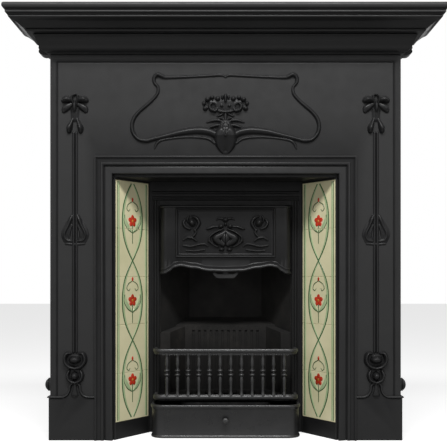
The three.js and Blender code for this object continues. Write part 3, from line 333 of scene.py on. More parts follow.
def makePiece(name, shape, finish, body="fireplace", sharp=38, edgeRound=0.0, settle=True):
    points, faces = shape
    mesh = bpy.data.meshes.new(name)
    mesh.from_pydata([place(*p) for p in points], [], faces)
    if settle:
        bm = bmesh.new()
        bm.from_mesh(mesh)
        bmesh.ops.recalc_face_normals(bm, faces=bm.faces)
        bm.to_mesh(mesh)
        bm.free()
    mesh.materials.append(finish)
    mesh.shade_smooth()
    mesh.set_sharp_from_angle(angle=math.radians(sharp))
    piece = bpy.data.objects.new(name, mesh)
    bpy.context.collection.objects.link(piece)
    if edgeRound:
        roundEdges(piece, edgeRound, 40)
    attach(piece, body)
    return piece


def ringFaces(ring, rings):  # the faces between rings of points
    faces = []
    for s in range(rings - 1):
        for i in range(ring):
            a, b = s * ring + i, s * ring + (i + 1) % ring
            faces.append((a, b, b + ring, a + ring))
    return faces


def sweep(section, stations):  # a closed section carried through stations, which place its points
    ring = len(section)
    points = [station(*p) for station in stations for p in section]
    faces = ringFaces(ring, len(stations))
    last = (len(stations) - 1) * ring
    faces.append(tuple(range(ring)))
    faces.append(tuple(last + i for i in reversed(range(ring))))
    return points, faces


def slab(outline, front, back):  # an outline in x and z, running from front to back
    count = len(outline)
    points = [(x, front, z) for x, z in outline] + [(x, back, z) for x, z in outline]
    faces = [tuple(range(count)), tuple(reversed(range(count, 2 * count)))]
    faces += [(i, (i + 1) % count, (i + 1) % count + count, i + count) for i in range(count)]
    return points, faces


def block(x0, x1, d0, d1, z0, z1):
    return slab([(x0, z0), (x1, z0), (x1, z1), (x0, z1)], d0, d1)


def gate(half, top, openHalf, openTop):  # outline of a plate whose opening runs down to the floor
    return [(-half, 0), (-openHalf, 0), (-openHalf, openTop), (openHalf, openTop), (openHalf, 0), (half, 0),
            (half, top), (-half, top)]


# A turned shape: profile is (radius, height along the axis); axis holds its directions along, across and up
def turned(profile, centre, axis, steps=32):
    points, rings = [], len(profile)
    for radius, height in profile:
        for s in range(steps):
            angle = 2 * math.pi * s / steps
            c, n = radius * math.cos(angle), radius * math.sin(angle)
            points.append(tuple(p + height * a + c * b + n * u for p, a, b, u in zip(centre, *axis)))
    faces = ringFaces(steps, rings)
    faces.append(tuple(reversed(range(steps))))
    faces.append(tuple((rings - 1) * steps + s for s in range(steps)))
    return points, faces


toFront = ((0, -1, 0), (1, 0, 0), (0, 0, 1))
toTop = ((0, 0, 1), (1, 0, 0), (0, 1, 0))


def flow(guides, steps):  # a smooth run through guide points, whatever each point holds
    guides = [np.array(g, float) for g in guides]
    guides = [2 * guides[0] - guides[1], *guides, 2 * guides[-1] - guides[-2]]
    spans = len(guides) - 3
    run = []
    for k in range(steps + 1):
        t = k / steps * spans
        i = min(int(t), spans - 1)
        t -= i
        a, b, c, d = guides[i:i + 4]
        even = 2 * b + (c - a) * t + (2 * a - 5 * b + 4 * c - d) * t * t
        run.append(tuple(0.5 * (even + (3 * b - a - 3 * c + d) * t ** 3)))
    return run


def acrossRun(run, i):  # unit direction across a run at its point i
    before, after = run[max(i - 1, 0)], run[min(i + 1, len(run) - 1)]
    length = math.hypot(after[0] - before[0], after[1] - before[1]) or 1
    return -(after[1] - before[1]) / length, (after[0] - before[0]) / length


def arc(cu, cv, radius, start, end, steps=8, tall=None):
    tall = tall or radius
    angles = [math.radians(start + (end - start) * i / steps) for i in range(steps + 1)]
    return [(cu + radius * math.cos(a), cv + tall * math.sin(a)) for a in angles]


# Relief: a height over a fine grid on an upright face, raised by strokes and domes and cut by veins.
# Guide points of a stroke are (x, z, half width, height).
reliefFloor = -4.0  # height of the empty grid, well under the face


def startRelief(x0, x1, z0, z1, step):
    xs = np.arange(x0, x1 + step, step)
    zs = np.arange(z0, z1 + step, step)
    return {"xs": xs, "zs": zs, "height": np.full((len(zs), len(xs)), reliefFloor)}


def strokeField(relief, guides, steps):  # how near each grid point is to the run, and the height there
    near = np.full(relief["height"].shape, 9.0)
    tall = np.ones(relief["height"].shape)
    run = flow(guides, steps)
    for (ax, az, aw, ah), (bx, bz, bw, bh) in zip(run[:-1], run[1:]):
        reach = 1.7 * max(aw, bw) + math.hypot(bx - ax, bz - az)
        x, z = (ax + bx) / 2, (az + bz) / 2
        cols = slice(*np.searchsorted(relief["xs"], (x - reach, x + reach)))
        rows = slice(*np.searchsorted(relief["zs"], (z - reach, z + reach)))
        gx, gz = np.meshgrid(relief["xs"][cols], relief["zs"][rows])
        dx, dz = bx - ax, bz - az
        t = np.clip(((gx - ax) * dx + (gz - az) * dz) / (dx * dx + dz * dz + 1e-9), 0, 1)
        away = np.hypot(gx - ax - t * dx, gz - az - t * dz) / np.maximum(aw + t * (bw - aw), 0.2)
        closer = away < near[rows, cols]
        near[rows, cols] = np.where(closer, away, near[rows, cols])
        tall[rows, cols] = np.where(closer, ah + t * (bh - ah), tall[rows, cols])
    return near, tall


def lift(relief, field, blend=1.0):
    old = relief["height"]
    soft = np.clip(blend - np.abs(old - field), 0, None) ** 2 / (4 * blend)
    relief["height"] = np.maximum(old, field) + soft


def addStroke(relief, guides, steps=24, flat=2.0):
    near, tall = strokeField(relief, guides, steps)
    lift(relief, np.clip(tall * (1 - near ** flat), reliefFloor, None))


def addDome(relief, x, z, rx, rz, height, turn=0.0, flat=2.0):
    gx, gz = np.meshgrid(relief["xs"], relief["zs"])
    c, s = math.cos(math.radians(turn)), math.sin(math.radians(turn))
    u = ((gx - x) * c + (gz - z) * s) / rx
    v = (-(gx - x) * s + (gz - z) * c) / rz
    lift(relief, np.clip(height * (1 - np.hypot(u, v) ** flat), reliefFloor, None))


def addVein(relief, guides, steps=16):
    near, deep = strokeField(relief, guides, steps)
    relief["height"] = relief["height"] - np.clip(deep * (1 - near ** 2), 0, None)


def addPair(relief, guides, make=addStroke, **extra):  # on the right and mirrored on the left
    make(relief, guides, **extra)
    make(relief, [(-x, *rest) for x, *rest in guides], **extra)


def reliefShape(relief, face, foot, shiftX, shiftZ, back=1.5):
    height = relief["height"]
    height = np.maximum(height, 0) + np.clip(foot - np.abs(height), 0, None) ** 2 / (4 * foot)
    raised = height > 0.02
    cells = raised[:-1, :-1] | raised[1:, :-1] | raised[:-1, 1:] | raised[1:, 1:]
    used = np.zeros(height.shape, bool)
    for dj in (0, 1):
        for di in (0, 1):
            used[dj:dj + cells.shape[0], di:di + cells.shape[1]] |= cells
    index = np.full(height.shape, -1)
    index[used] = np.arange(used.sum())
    gx, gz = np.meshgrid(relief["xs"] + shiftX, relief["zs"] + shiftZ)
    front = np.column_stack([gx[used], face + 0.06 - height[used], gz[used]])
    rear = np.column_stack([gx[used], np.full(used.sum(), face + back), gz[used]])
    a, b = index[:-1, :-1], index[:-1, 1:]
    c, d = index[1:, 1:], index[1:, :-1]
    quads = np.stack([a[cells], b[cells], c[cells], d[cells]], axis=1)
    count = len(front)
    padded = np.pad(cells, 1)
    faces = [tuple(q) for q in quads.tolist()] + [tuple(q) for q in (quads[:, ::-1] + count).tolist()]
    for corners, dj, di in (((a, b), 0, 1), ((b, c), 1, 2), ((c, d), 2, 1), ((d, a), 1, 0)):
        edge = cells & ~padded[dj:dj + cells.shape[0], di:di + cells.shape[1]]
        for p, q in zip(corners[0][edge].tolist(), corners[1][edge].tolist()):
            faces.append((q, p, p + count, q + count))
    return np.vstack([front, rear]).tolist(), faces


def makeRelief(name, relief, face=0, foot=1.4, shiftX=0, shiftZ=0):
    return makePiece(name, reliefShape(relief, face, foot, shiftX, shiftZ), iron, sharp=80, settle=False)


# Surround: plate with its border groove, returns to the wall, a top flange and wall lugs
surround = {
    "half": 548,
    "height": 1206,
    "depth": surroundDepth,
    "wall": 7,
    "grooveInset": 17,
    "grooveCorner": 10,
    "grooveFall": 3.6,  # the groove lies this much lower under the cornice
    "border": 26,  # width of the border strip that holds the groove
    "openingHalf": 380,  # hole in the plate, behind the moulded frame
    "openingTop": 859,
    "topFlange": 46,
    "lug": 44,
    "lugShares": (0.2, 0.84),  # heights of the wall lugs as shares of the whole
}


def borderStations():
    w, h, inset, fall = (surround[name] for name in ("half", "height", "grooveInset", "grooveFall"))
    radius = inset + surround["grooveCorner"]

    def straight(side, z):
        return lambda u, d: (side * (w - u), d, z)

    def corner(side, c, s):
        def station(u, d):
            square = radius / max(c, s)
            share = min(u / inset, 1)
            away = (1 - share) * square + share * (radius - inset) - max(u - inset, 0)
            return (side * (w - radius + away * c), d, h - radius + (away - share * fall) * s)
        return station

    turns = arc(0, 0, 1, 0, 90, 12)
    left = [straight(-1, 0), *(corner(-1, c, s) for c, s in turns)]
    right = [*(corner(1, c, s) for c, s in reversed(turns)), straight(1, 0)]
    return left + right


def makeSurround():
    s = surround
    w, h, inset = s["half"], s["height"], s["grooveInset"]
    groove = [(inset, 0), (inset + 0.8, 0.6), (inset + 2.2, 2.4), (inset + 3.8, 3.0), (inset + 5.4, 2.4),
              (inset + 6.8, 0.6), (inset + 7.6, 0)]
    fieldTop = h - s["border"] - s["grooveFall"]
    section = [(0, s["wall"]), (0, 1.6), (0.5, 0.5), (1.6, 0), *groove,
               (s["border"], 0), (s["border"], s["wall"])]
    field = gate(w - s["border"], fieldTop, s["openingHalf"], s["openingTop"])
    parts = [sweep(section, borderStations()), slab(field, 0, s["wall"]),
             block(-w + 1, w - 1, s["wall"] - 1, s["topFlange"], h - s["wall"], h)]
    for _, side in sides:
        inner = side * (w - s["wall"])
        parts.append(block(*sorted((side * w, inner)), s["wall"], s["depth"], 0, h))
        for share in s["lugShares"]:
            x0, x1 = sorted((inner + side, inner - side * s["lug"]))
            z, half = h * share, s["lug"] / 2
            parts.append(block(x0, x1, s["depth"] - s["wall"], s["depth"], z - half, z + half))
    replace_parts(makePiece("surroundPlate", gather(*parts), iron), "mantel_front")


makeSurround()


# Plinth blocks at the feet of the pilasters; their cap sweeps up to the foot of the flower stem
plinth = {
    "inner": 408.6,
    "outer": 552,
    "height": 131,
    "proud": 4,
    "capProud": 8,
    "capRise": 8,
    "stemHalf": 9,
    "stemTop": 172,
    "fieldOver": 4,  # the field runs this far over the foot of the stem
}
pilasterCentre = 470


def capLine():  # from the inner end over the foot of the stem to the outer end
    p, c = plinth, pilasterCentre
    z = p["height"]
    rise = p["stemTop"] - p["height"]
    half = [(p["inner"], z), (c - 44, z), (c - 32, z + rise * 0.05), (c - 21, z + rise * 0.22),
            (c - 13, z + rise * 0.55), (c - p["stemHalf"], z + rise)]
    return half + [(2 * c - x, y) for x, y in reversed(half[1:])] + [(p["outer"], z)]


def makePlinths():
    p = plinth
    cap = [(-1, 0), (0.5 * p["proud"], 0), (p["proud"] + 1, 1.6), (p["capProud"], 3), (p["capProud"], 5.2),
           (p["capProud"] - 2, 7.2), (p["proud"], p["capRise"]), (-1, p["capRise"])]
    w, back = surround["half"], surround["depth"]
    for name, side in sides:
        field = [(p["inner"], 0), *capLine(), (p["outer"], 0)]
        front = slab([(side * x, z) for x, z in field], -p["proud"], 1)
        flank = block(*sorted((side * (w - 1), side * p["outer"])), 0.5, back, 0, p["height"])
        line = [(x, min(z, p["stemTop"] + p["fieldOver"])) for x, z in flow(capLine(), 60)]
        stations = []
        for i, (x, z) in enumerate(line):
            nx, nz = acrossRun(line, i)
            stations.append(lambda u, v, x=x, z=z, nx=nx, nz=nz: (side * (x + v * nx), -u, z + v * nz))
        capFlank = sweep(cap, [
            lambda u, v: (side * (w + u), -u, p["height"] + v),
            lambda u, v: (side * (w + u), back, p["height"] + v),
        ])
        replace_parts(makePiece(f"plinth_{name}", gather(front, flank), iron, edgeRound=0.0012), "mantel_front")
        piece = makePiece(f"plinthCap_{name}", gather(sweep(cap, stations), capFlank), iron, sharp=50)
        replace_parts(piece, "mantel_front")


makePlinths()


# Pilaster ornament: a flower on two reeded stems, with hanging pods, a pair of leaves and two cups
def pilasterRelief():
    r = startRelief(-48, 48, 138, 1096, 1.3)
    # reeded stems
    for x in (-4.7, 4.7):
        addStroke(r, [(x, 276, 4.2, 5), (x, 960, 4.2, 5)], steps=2)
    addStroke(r, [(0, 1005, 12, 5), (0, 1030, 14, 8)], steps=4)
    # flower at the top: two full lobes a side, a tongue between two upright petals and a knob over it
    addPair(r, [(12, 1048, 8, 7), (22, 1042, 11, 10), (30, 1036, 11, 10), (34, 1029, 7, 7)], flat=3)
    addPair(r, [(9, 1060, 7, 9), (18, 1064, 10, 15), (28, 1064, 11.5, 18), (35, 1061, 8, 13)])
    addPair(r, [(5, 1050, 3.5, 9), (9, 1063, 4, 15), (9, 1075, 4, 12)])
    addPair(r, [(12, 1054, 1.4, 4), (24, 1051, 1.8, 4), (38, 1046, 1.4, 3)], addVein)
    addDome(r, 0, 1079, 5.5, 4.5, 11)
    addStroke(r, [(0, 1059, 4, 8), (0, 1047, 6.5, 17), (0, 1032, 7, 16), (0, 1023, 4, 7)])
    # hanging pods
    addPair(r, [(7, 1004, 4, 5), (11, 992, 6, 10), (17, 976, 9.5, 17), (18, 965, 7, 12)])
    addPair(r, [(3, 996, 1.6, 4), (7, 972, 1.8, 5)], addVein)
    # pair of leaves halfway up: a thin blade with a raised ridge that turns in at its foot
    addPair(r, [(9, 694, 6, 2.5), (21, 670, 11, 3.5), (29, 645, 14, 4), (24, 628, 14, 3)], flat=5)
    addPair(r, [(9, 702, 4, 6), (14, 688, 6.5, 11), (22, 668, 5.5, 10), (31, 650, 5.5, 10),
                (32, 636, 5, 8), (25, 625, 5, 7), (12, 622, 4, 5)], steps=36)
    addPair(r, [(10, 672, 2.5, 4), (16, 652, 3.5, 6), (18, 636, 3, 5)])
    addStroke(r, [(-28, 614, 4, 3), (0, 612, 4, 3), (28, 614, 4, 3)])
    # large cup with its fruit
    addDome(r, 0, 250, 27, 19, 3)
    addPair(r, [(14, 272, 4, 9), (25, 271, 6.5, 16), (31, 258, 7, 17), (29, 243, 7, 16),
                (17, 230, 7, 15), (0, 225, 7, 15)], steps=40)
    addDome(r, 0, 252, 19, 12.5, 23, flat=3)
    # small cup
    addDome(r, 0, 199, 18, 15, 3)
    addPair(r, [(18, 217, 4.5, 10), (23, 204, 6, 15), (17, 188, 6.5, 15), (0, 180, 6.5, 14)], steps=30)
    addDome(r, 0, 201, 12, 13.5, 21, flat=2.8)
    # foot of the stem
    addStroke(r, [(0, 178, 9, 8), (0, 160, 10, 10), (0, 144, 15, 12)], steps=8)
    addPair(r, [(6, 174, 1.3, 3), (7, 160, 1.5, 3), (12, 144, 1.5, 2)], addVein)
    return r


pilasterOrnament = pilasterRelief()
for name, side in sides:
    flower = makeRelief(f"pilasterFlower_{name}", pilasterOrnament, shiftX=side * pilasterCentre)
    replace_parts(flower, "mantel_front")


# Frieze: a flowing cartouche with a flower head, a shield of leaves and a pendant in its middle
def friezeRelief():
    r = startRelief(-304, 304, 890, 1156, 1.4)
    top = [(0, 1134, 3, 3), (8, 1139, 4, 4.5), (24, 1140, 4.5, 5), (100, 1136, 4.5, 5), (180, 1133, 5, 6),
           (196, 1136, 6, 8), (210, 1142, 7, 10), (219, 1139, 6, 8)]
    flank = [(212, 1143, 6, 9), (222, 1133, 6, 8), (222, 1117, 5, 7), (211, 1102, 4.5, 6), (213, 1082, 5, 7),
             (229, 1062, 5, 7), (248, 1045, 5.5, 8), (270, 1026, 5.5, 8), (286, 1005, 6, 9), (292, 982, 6, 9),
             (287, 958, 6, 9), (270, 940, 6.5, 9), (246, 936, 7, 9), (222, 942, 7, 8), (176, 953, 8, 8),
             (133, 963, 10, 9), (85, 968, 12, 10), (48, 963, 12, 11), (24, 950, 12, 12), (6, 934, 10, 12)]
    addPair(r, top, steps=60)
    addPair(r, flank, steps=150)
    addPair(r, [(221, 912, 3, 3), (213, 929, 5, 5), (196, 938, 4, 4), (150, 945, 3.5, 4),
                (100, 947, 3.5, 4.5), (56, 942, 4, 5), (34, 928, 4, 5)], steps=60)
    # pendant under the shield, leaning forward so that it stays in shadow
    addStroke(r, [(0, 905, 12, 2), (0, 918, 24, 9), (0, 935, 34, 17), (0, 950, 36, 24)], steps=20, flat=6)
    # shield and its two long leaves
    shield = [(0, 998, 8, 8), (0, 986, 19, 14), (0, 974, 25, 20), (0, 960, 22, 27), (0, 950, 12, 29)]
    addStroke(r, shield, steps=20)
    addDome(r, 0, 973, 6, 6, 24)
    addPair(r, [(3, 992, 1.5, 3), (12, 978, 2, 3.5), (4, 960, 1.5, 3)], addVein)
    addVein(r, [(0, 966, 1.5, 3), (0, 950, 1.2, 3)])
    addPair(r, [(5, 992, 5, 7), (22, 999, 5, 8), (40, 998, 4.5, 7), (58, 993, 2.5, 4)])
    addPair(r, [(6, 1003, 3, 5), (16, 1006, 4, 7), (26, 1002, 3, 4)])
    addPair(r, [(12, 985, 5, 7), (34, 982, 6, 8), (52, 976, 4, 5)])
    # neck
    addStroke(r, [(0, 1028, 5, 7), (0, 1014, 6, 9), (0, 1000, 6, 10)], steps=10)
    addPair(r, [(8, 1020, 4, 5), (20, 1014, 3.5, 5), (26, 1012, 2.5, 3)])
    # flower head: a row of round petals over curled ones
    addDome(r, 0, 1046, 60, 24, 5, flat=4)
    addStroke(r, [(0, 1058, 5, 13), (0, 1072, 5.5, 15), (0, 1079, 4, 8)])
    petals = ((10, 1070, 4, 9, 12), (24, 1066, 9, 9, 14), (42, 1070, 7, 7, 11), (56, 1064, 8.5, 8.5, 14),
              (67, 1052, 6, 8, 9), (63, 1036, 8, 7.5, 12), (12, 1044, 7, 6.5, 12))
    for x, *rest in petals:
        addDome(r, x, *rest)
        addDome(r, -x, *rest)
    addPair(r, [(26, 1036, 4, 9), (32, 1028, 5, 12), (45, 1032, 5.5, 14), (49, 1044, 5, 13),
                (42, 1052, 4, 12), (32, 1050, 3.5, 10), (31, 1043, 3, 8)], steps=40)
    addStroke(r, [(-22, 1028, 4, 8), (0, 1024, 5, 12), (22, 1028, 4, 8)])
    return r


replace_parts(makeRelief("friezeCartouche", friezeRelief()), "mantel_front")
print("surround ready")


# Domed roundels low on each side
sideBoss = {"radius": 24, "height": 169, "depth": 45, "gap": 0.3}
for name, side in sides:
    r, gap = sideBoss["radius"], sideBoss["gap"]
    profile = [(0.5, 0), (r, 0), (r, gap + 5.5), (r - 1, gap + 7), (r - 4, gap + 8), (r - 4.5, gap + 9.5),
               (r - 3, gap + 11), (r - 3, gap + 13), *arc(0, gap + 9, r - 4, 15, 88, 9, 15)]
    centre = (side * (surround["half"] + gap), sideBoss["depth"], sideBoss["height"])
    shape = turned(profile, centre, ((side, 0, 0), (0, 1, 0), (0, 0, 1)))
    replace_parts(makePiece(f"sideRoundel_{name}", shape, iron), f"side_boss_{name}")


# Shelf and cornice: mouldings that run round the front and both ends, p is how far they stand out
def roundThreeSides(section):
    w, back = surround["half"], surround["depth"]
    return sweep(section, [
        lambda p, z: (-w - p, back, z),
        lambda p, z: (-w - p, -p, z),
        lambda p, z: (w + p, -p, z),
        lambda p, z: (w + p, back, z),
    ])


shelf = {"foot": 1259.2, "top": 1332, "reach": 120, "roll": 62, "rest": -6, "wall": 7}
cornice = {"foot": 1206.3, "top": 1258.7, "reach": 42}
scroll = {"front": 12, "back": 58, "edgeRound": 0.003}


def makeShelf():
    s = shelf
    reach, top, foot, roll, rest = s["reach"], s["top"], s["foot"], s["roll"], s["rest"]
    nose = arc(reach - 7, top - 9.5, 7, 88, -80, 12, 9.5)
    fillet = [(reach - 8.5, top - 20.5), (reach - 8.8, top - 23)]
    bead = arc(reach - 12, top - 27, 4, 60, -75, 7, 3.8)
    quirk = [(reach - 14.5, top - 32), (reach - 15, top - 34)]
    lowBead = arc(reach - 20, top - 38.5, 4.5, 55, -70, 7, 4)
    hollow = flow([(reach - 21, top - 44), (reach - 30, top - 47.6), (reach - 42, top - 55.5),
                   (roll + 6, foot + 10.3), (roll + 1.2, foot + 8)], 16)
    footRoll = arc(roll - 4.5, foot + 4.2, 5.5, 60, -88, 10, 4.2)
    inner = [(rest, foot), (rest, foot + s["wall"]), (roll - 10, foot + s["wall"]), (roll - 6, foot + 16),
             (reach - 38, top - 39), (reach - 29, top - 29), (reach - 30, top - 8)]
    section = [(reach - 30, top), *nose, *fillet, *bead, *quirk, *lowBead, *hollow, *footRoll, *inner]
    x, y = surround["half"] + reach - 29, reach - 29
    board = block(-x, x, -y, surround["depth"], top - s["wall"] - 0.4, top)
    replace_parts(makePiece("shelfMoulding", gather(roundThreeSides(section), board), iron), "mantel_shelf")


def makeCornice():
    c = cornice
    reach, top, foot = c["reach"], c["top"], c["foot"]
    lip = [(reach - 2, top), *arc(reach - 3.5, top - 3.8, 4.8, 70, -65, 8, 3.7)]
    fillet = [(reach - 2.6, top - 9.5), (reach - 4.4, top - 13), (reach - 5.5, top - 18.5)]
    ogee = flow([(reach - 6, top - 19.2), (reach - 8, top - 22.7), (reach - 10.5, top - 28.7),
                 (reach - 13.5, foot + 16.7), (reach - 18, foot + 10.7), (reach - 26, foot + 5.7),
                 (reach - 33, foot + 2.9)], 20)
    foothold = [(7.5, foot + 2.2), (7.5, foot + 0.8), (6, foot)]
    flange = 6 - surround["topFlange"]
    behind = [(flange, foot), (flange, foot + 6), (0, foot + 7), (10, foot + 12), (18, foot + 19),
              (23.5, foot + 27), (28, foot + 36), (28, top - 8), (-6, top - 8), (-6, top)]
    section = [*lip, *fillet, *ogee, *foothold, *behind]
    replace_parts(makePiece("corniceMoulding", roundThreeSides(section), iron), "cornice")


def makeScrolls():  # a scroll under each end of the cornice
    outline = flow([(3, 3), (22, 2), (31, 4), (37.5, 8.5), (39.5, 14), (37.8, 19), (39.8, 24), (38.5, 31),
                    (33, 36.5), (20, 38), (4, 30), (3, 3)], 60)
    for name, side in sides:
        points = [(side * (surround["half"] + x), surround["height"] + z) for x, z in outline[:-1]]
        shape = slab(points, scroll["front"], scroll["back"])
        piece = makePiece(f"corniceScroll_{name}", shape, iron, sharp=50, edgeRound=scroll["edgeRound"])
        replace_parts(piece, "cornice")


makeShelf()
makeCornice()
makeScrolls()
print("shelf and cornice ready")


# Moulded frame round the opening: u leads outwards from the opening's edge, v to the front
frameMould = {"half": 352, "top": 831, "width": 57, "lap": 28, "tongue": 4}


def makeFrame():
    f = frameMould
    w, half, top = f["width"], f["half"], f["top"]
    band = [(0, 2.8), (0.4, 6.5), (1.6, 8.6), (3.4, 9.2), (8, 8.0), (20, 4.2), (23.4, 3.0), (24.6, 1.4),
            (27, 1.4)]
    innerBead = arc(32.4, 4.2, 5.2, 190, 20, 10, 4.6)
    flat = [(38.4, 6.2), (44, 6.0), (48.5, 6.6), (51, 7.8)]
    outerBead = arc(w - 3.8, 7.4, 3.6, 120, -8, 8, 3.6)
    lap, tongue = f["lap"] - 0.3, -f["tongue"]
    close = [(w - 0.2, 3), (w, 0.3), (lap, 0.3), (lap, tongue), (0, tongue)]
    shape = sweep([*band, *innerBead, *flat, *outerBead, *close], [
        lambda u, v: (-half - u, -v, 0),
        lambda u, v: (-half - u, -v, top + u),
        lambda u, v: (half + u, -v, top + u),
        lambda u, v: (half + u, -v, 0),
    ])
    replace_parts(makePiece("openingMoulding", shape, iron), "opening_frame")


makeFrame()


# Tile panels: the drawn lines, bands and petals that stand a little proud of the cream tiles
tiles = {
    "size": 152.4,
    "high": 5,
    "base": 54,
    "frontX": 344,
    "frontDepth": 5,
    "splay": 53,  # degrees
    "line": 2.1,  # half width of a drawn line
    "lineHeight": 0.9,
    "joint": 0.9,
    "margin": 3,  # no line comes nearer to the panel's two upright edges
    "blooms": 3,
}
splay = math.radians(tiles["splay"])


def onTile(side, a, n, z):  # a from the panel's front edge along its face, n out of the face
    x = tiles["frontX"] - a * math.cos(splay) - n * math.sin(splay)
    depth = tiles["frontDepth"] + a * math.sin(splay) - n * math.cos(splay)
    return (side * x, depth, z + tiles["base"])


def ribbon(side, run, proud):  # run is (a, z, half width); a domed band, cut at the joints between the tiles
    section = [(-1, -0.1), (-0.9, 0.45), (-0.5, 0.9), (0, 1), (0.5, 0.9), (0.9, 0.45), (1, -0.1)]
    shapes, stations = [], []

    def close():
        if len(stations) > 1:
            shapes.append(sweep(section, list(stations)))
        stations.clear()

    size, margin = tiles["size"], tiles["margin"]
    for i, (a, z, half) in enumerate(run):
        if min(z % size, -z % size) < tiles["joint"] or not margin < a < size - margin:
            close()
            continue
        na, nz = acrossRun(run, i)
        stations.append(lambda u, v, a=a, z=z, half=half, na=na, nz=nz: onTile(
            side, a + u * half * na, v * proud, z + u * half * nz))
    close()
    return shapes


def petal(side, a, z, ra, rz, turn, proud, count=20):  # a low domed oval
    c, s = math.cos(math.radians(turn)), math.sin(math.radians(turn))
    rings = ((1.0, -0.1), (0.93, 0.4), (0.7, 0.78), (0.35, 0.96))
    points = []
    for scale, height in rings:
        for i in range(count):
            t = 2 * math.pi * i / count
            u, v = scale * ra * math.cos(t), scale * rz * math.sin(t)
            points.append(onTile(side, a + u * c - v * s, proud * height, z + u * s + v * c))
    faces = ringFaces(count, len(rings))
    faces.append(tuple((len(rings) - 1) * count + i for i in range(count)))
    faces.append(tuple(reversed(range(count))))
    return points, faces


def panelPattern(side):
    size, line, proud = tiles["size"], tiles["line"], tiles["lineHeight"]
    middle, height = size / 2, size * tiles["high"]
    dark, pale, red, amber = [], [], [], []
    period = height / tiles["blooms"]

    def stem(turn, shrink, half):  # two stems cross and part on their way up, once for each bloom
        run = []
        for i in range(241):
            z = 8 + (height - 16) * i / 240
            swing = math.sin(math.pi * z / period)
            a = middle + turn * (size * 0.37 - shrink) * swing * (1 - 0.18 * swing * swing)
            run.append((a, z, half))
        return run

    for turn in (-1, 1):
        dark += ribbon(side, stem(turn, 0, line), proud)
        pale += ribbon(side, stem(turn, 7, 3.4), proud * 0.6)
        for edge, half, bands in ((9, line * 0.8, dark), (14.5, 2.8, pale)):
            a = middle + turn * (middle - edge)
            bands += ribbon(side, [(a, 5 + (height - 10) * i / 60, half) for i in range(61)], proud * 0.7)
    # leaf, its rim and a curl beside each bloom; points are (off the middle, over the bloom, half width)
    sprays = ((pale, 0.9, 22, ((3, -34, 1), (17, -22, 5.5), (30, -2, 4.5), (33, 16, 0.6))),
              (dark, 1, 30, ((2, -38, 1.2), (24, -25, 1.5), (38, -2, 1.4), (35, 19, 1.0))),
              (dark, 1, 34, ((2, 62, 1.2), (20, 52, 1.5), (26, 38, 1.4), (17, 31, 1.2), (11, 38, 1.0))))
    for k in range(tiles["blooms"]):
        z = period * (k + 0.5)
        for turn in (-1, 1):
            for bands, share, steps, points in sprays:
                run = flow([(middle + turn * x, z + y, half) for x, y, half in points], steps)
                bands += ribbon(side, run, proud * share)
        stalk = flow([(middle, z - 72, 1.3), (middle, z - 40, 1.6), (middle, z - 14, 1.6)], 26)
        dark += ribbon(side, stalk, proud)
        for turn in range(90, 450, 72):  # five round petals about an amber eye
            x, y = 10.5 * math.cos(math.radians(turn)), 10.5 * math.sin(math.radians(turn))
            red.append(petal(side, middle + x, z + y, 9.5, 7.6, turn, 1.5))
        amber.append(petal(side, middle, z, 5.2, 5.2, 0, 2.3))
        red.append(petal(side, middle, z + 68, 4.2, 7, 0, 1.3))
    return {"Lines": (dark, darkGreenGlaze), "Bands": (pale, paleGreenGlaze),
            "Petals": (red, redGlaze), "Eyes": (amber, amberGlaze)}


for name, side in sides:
    for part, (shapes, finish) in panelPattern(side).items():
        makePiece(f"tile{part}_{name}", gather(*shapes), finish, sharp=60)
print("tiles ready")


# Inset: the iron panel behind the tiles, with reeds up its jambs and a bead across its head
inset = {
    "front": 134,
    "wall": 8,
    "half": 266.3,
    "height": 831,
    "fireHalf": 217,
    "fireHeight": 746,
    "beadHeight": 787,
    "tileEdge": 247.2,
    "restTop": 115.7,
    "restThick": 6.5,
    "restReach": 36,
    "restInner": 17,
}


def halfRound(half, proud, *stations):  # a half-round rib on the panel's face
    dome = arc(0, 0, -half, 0, -180, 8, -proud)
    return sweep([(-half, -0.5), *dome, (half, -0.5)], stations)


def makeInset():
    n = inset
    front, rest, reach = n["front"], n["restTop"], n["tileEdge"] - 5
    outline = gate(n["half"], n["height"], n["fireHalf"], n["fireHeight"])
    parts = [slab(outline, front, front + n["wall"])]
    pitch = (n["tileEdge"] - n["fireHalf"]) / 3.5
    for _, side in sides:
        for i in range(3):
            x = side * (n["fireHalf"] + pitch * (i + 0.55))
            parts.append(halfRound(pitch * 0.42, 4.2, *(
                lambda u, v, x=x, z=z: (x + u, front - v, z) for z in (1, n["beadHeight"] - 26))))
        inner = side * (n["fireHalf"] - n["restInner"])
        x0, x1 = sorted((inner, inner + side * n["restReach"]))
        parts.append(block(x0, x1, front - n["restReach"], front + 1, rest - n["restThick"], rest))
    for lower, half, proud in ((0, 4.6, 5.2), (15, 3, 3), (23, 3, 3)):
        z = n["beadHeight"] - lower
        parts.append(halfRound(half, proud, *(
            lambda u, v, x=x, z=z: (x, front - v, z + u) for x in (-reach, reach))))
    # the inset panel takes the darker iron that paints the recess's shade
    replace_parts(makePiece("insetPanel", gather(*parts), recessShadeIron, edgeRound=0.0006), "inset_frame")


makeInset()

# Hood: a shell with rounded wings, a beaded panel in relief and a scalloped lower edge
hood = {
    "half": 214,
    "front": 104,
    "foot": 519,
    "top": 743,
    "round": 24,
    "wall": 6,
    "gap": 0.3,  # between the hood and the inset in front of its flange
    "flange": 30,  # to each side and upward, behind the header and the jambs
    "earFoot": 700.6,
    "lean": 6,  # the foot lies this much behind the face
    "panelHalf": 159,
    "panelTop": 731,
    "panelFoot": 576,
    "arch": 25,
    "scallop": (  # off the middle, and the rise there as a share of the arch
        (0, 0.30), (52, 0.36), (104, 0.74), (148, 1.0), (166, 0.86), (184, 0.34), (196, 0.06), (214, 0.0)),
    "across": 90,  # steps along the flat front
}


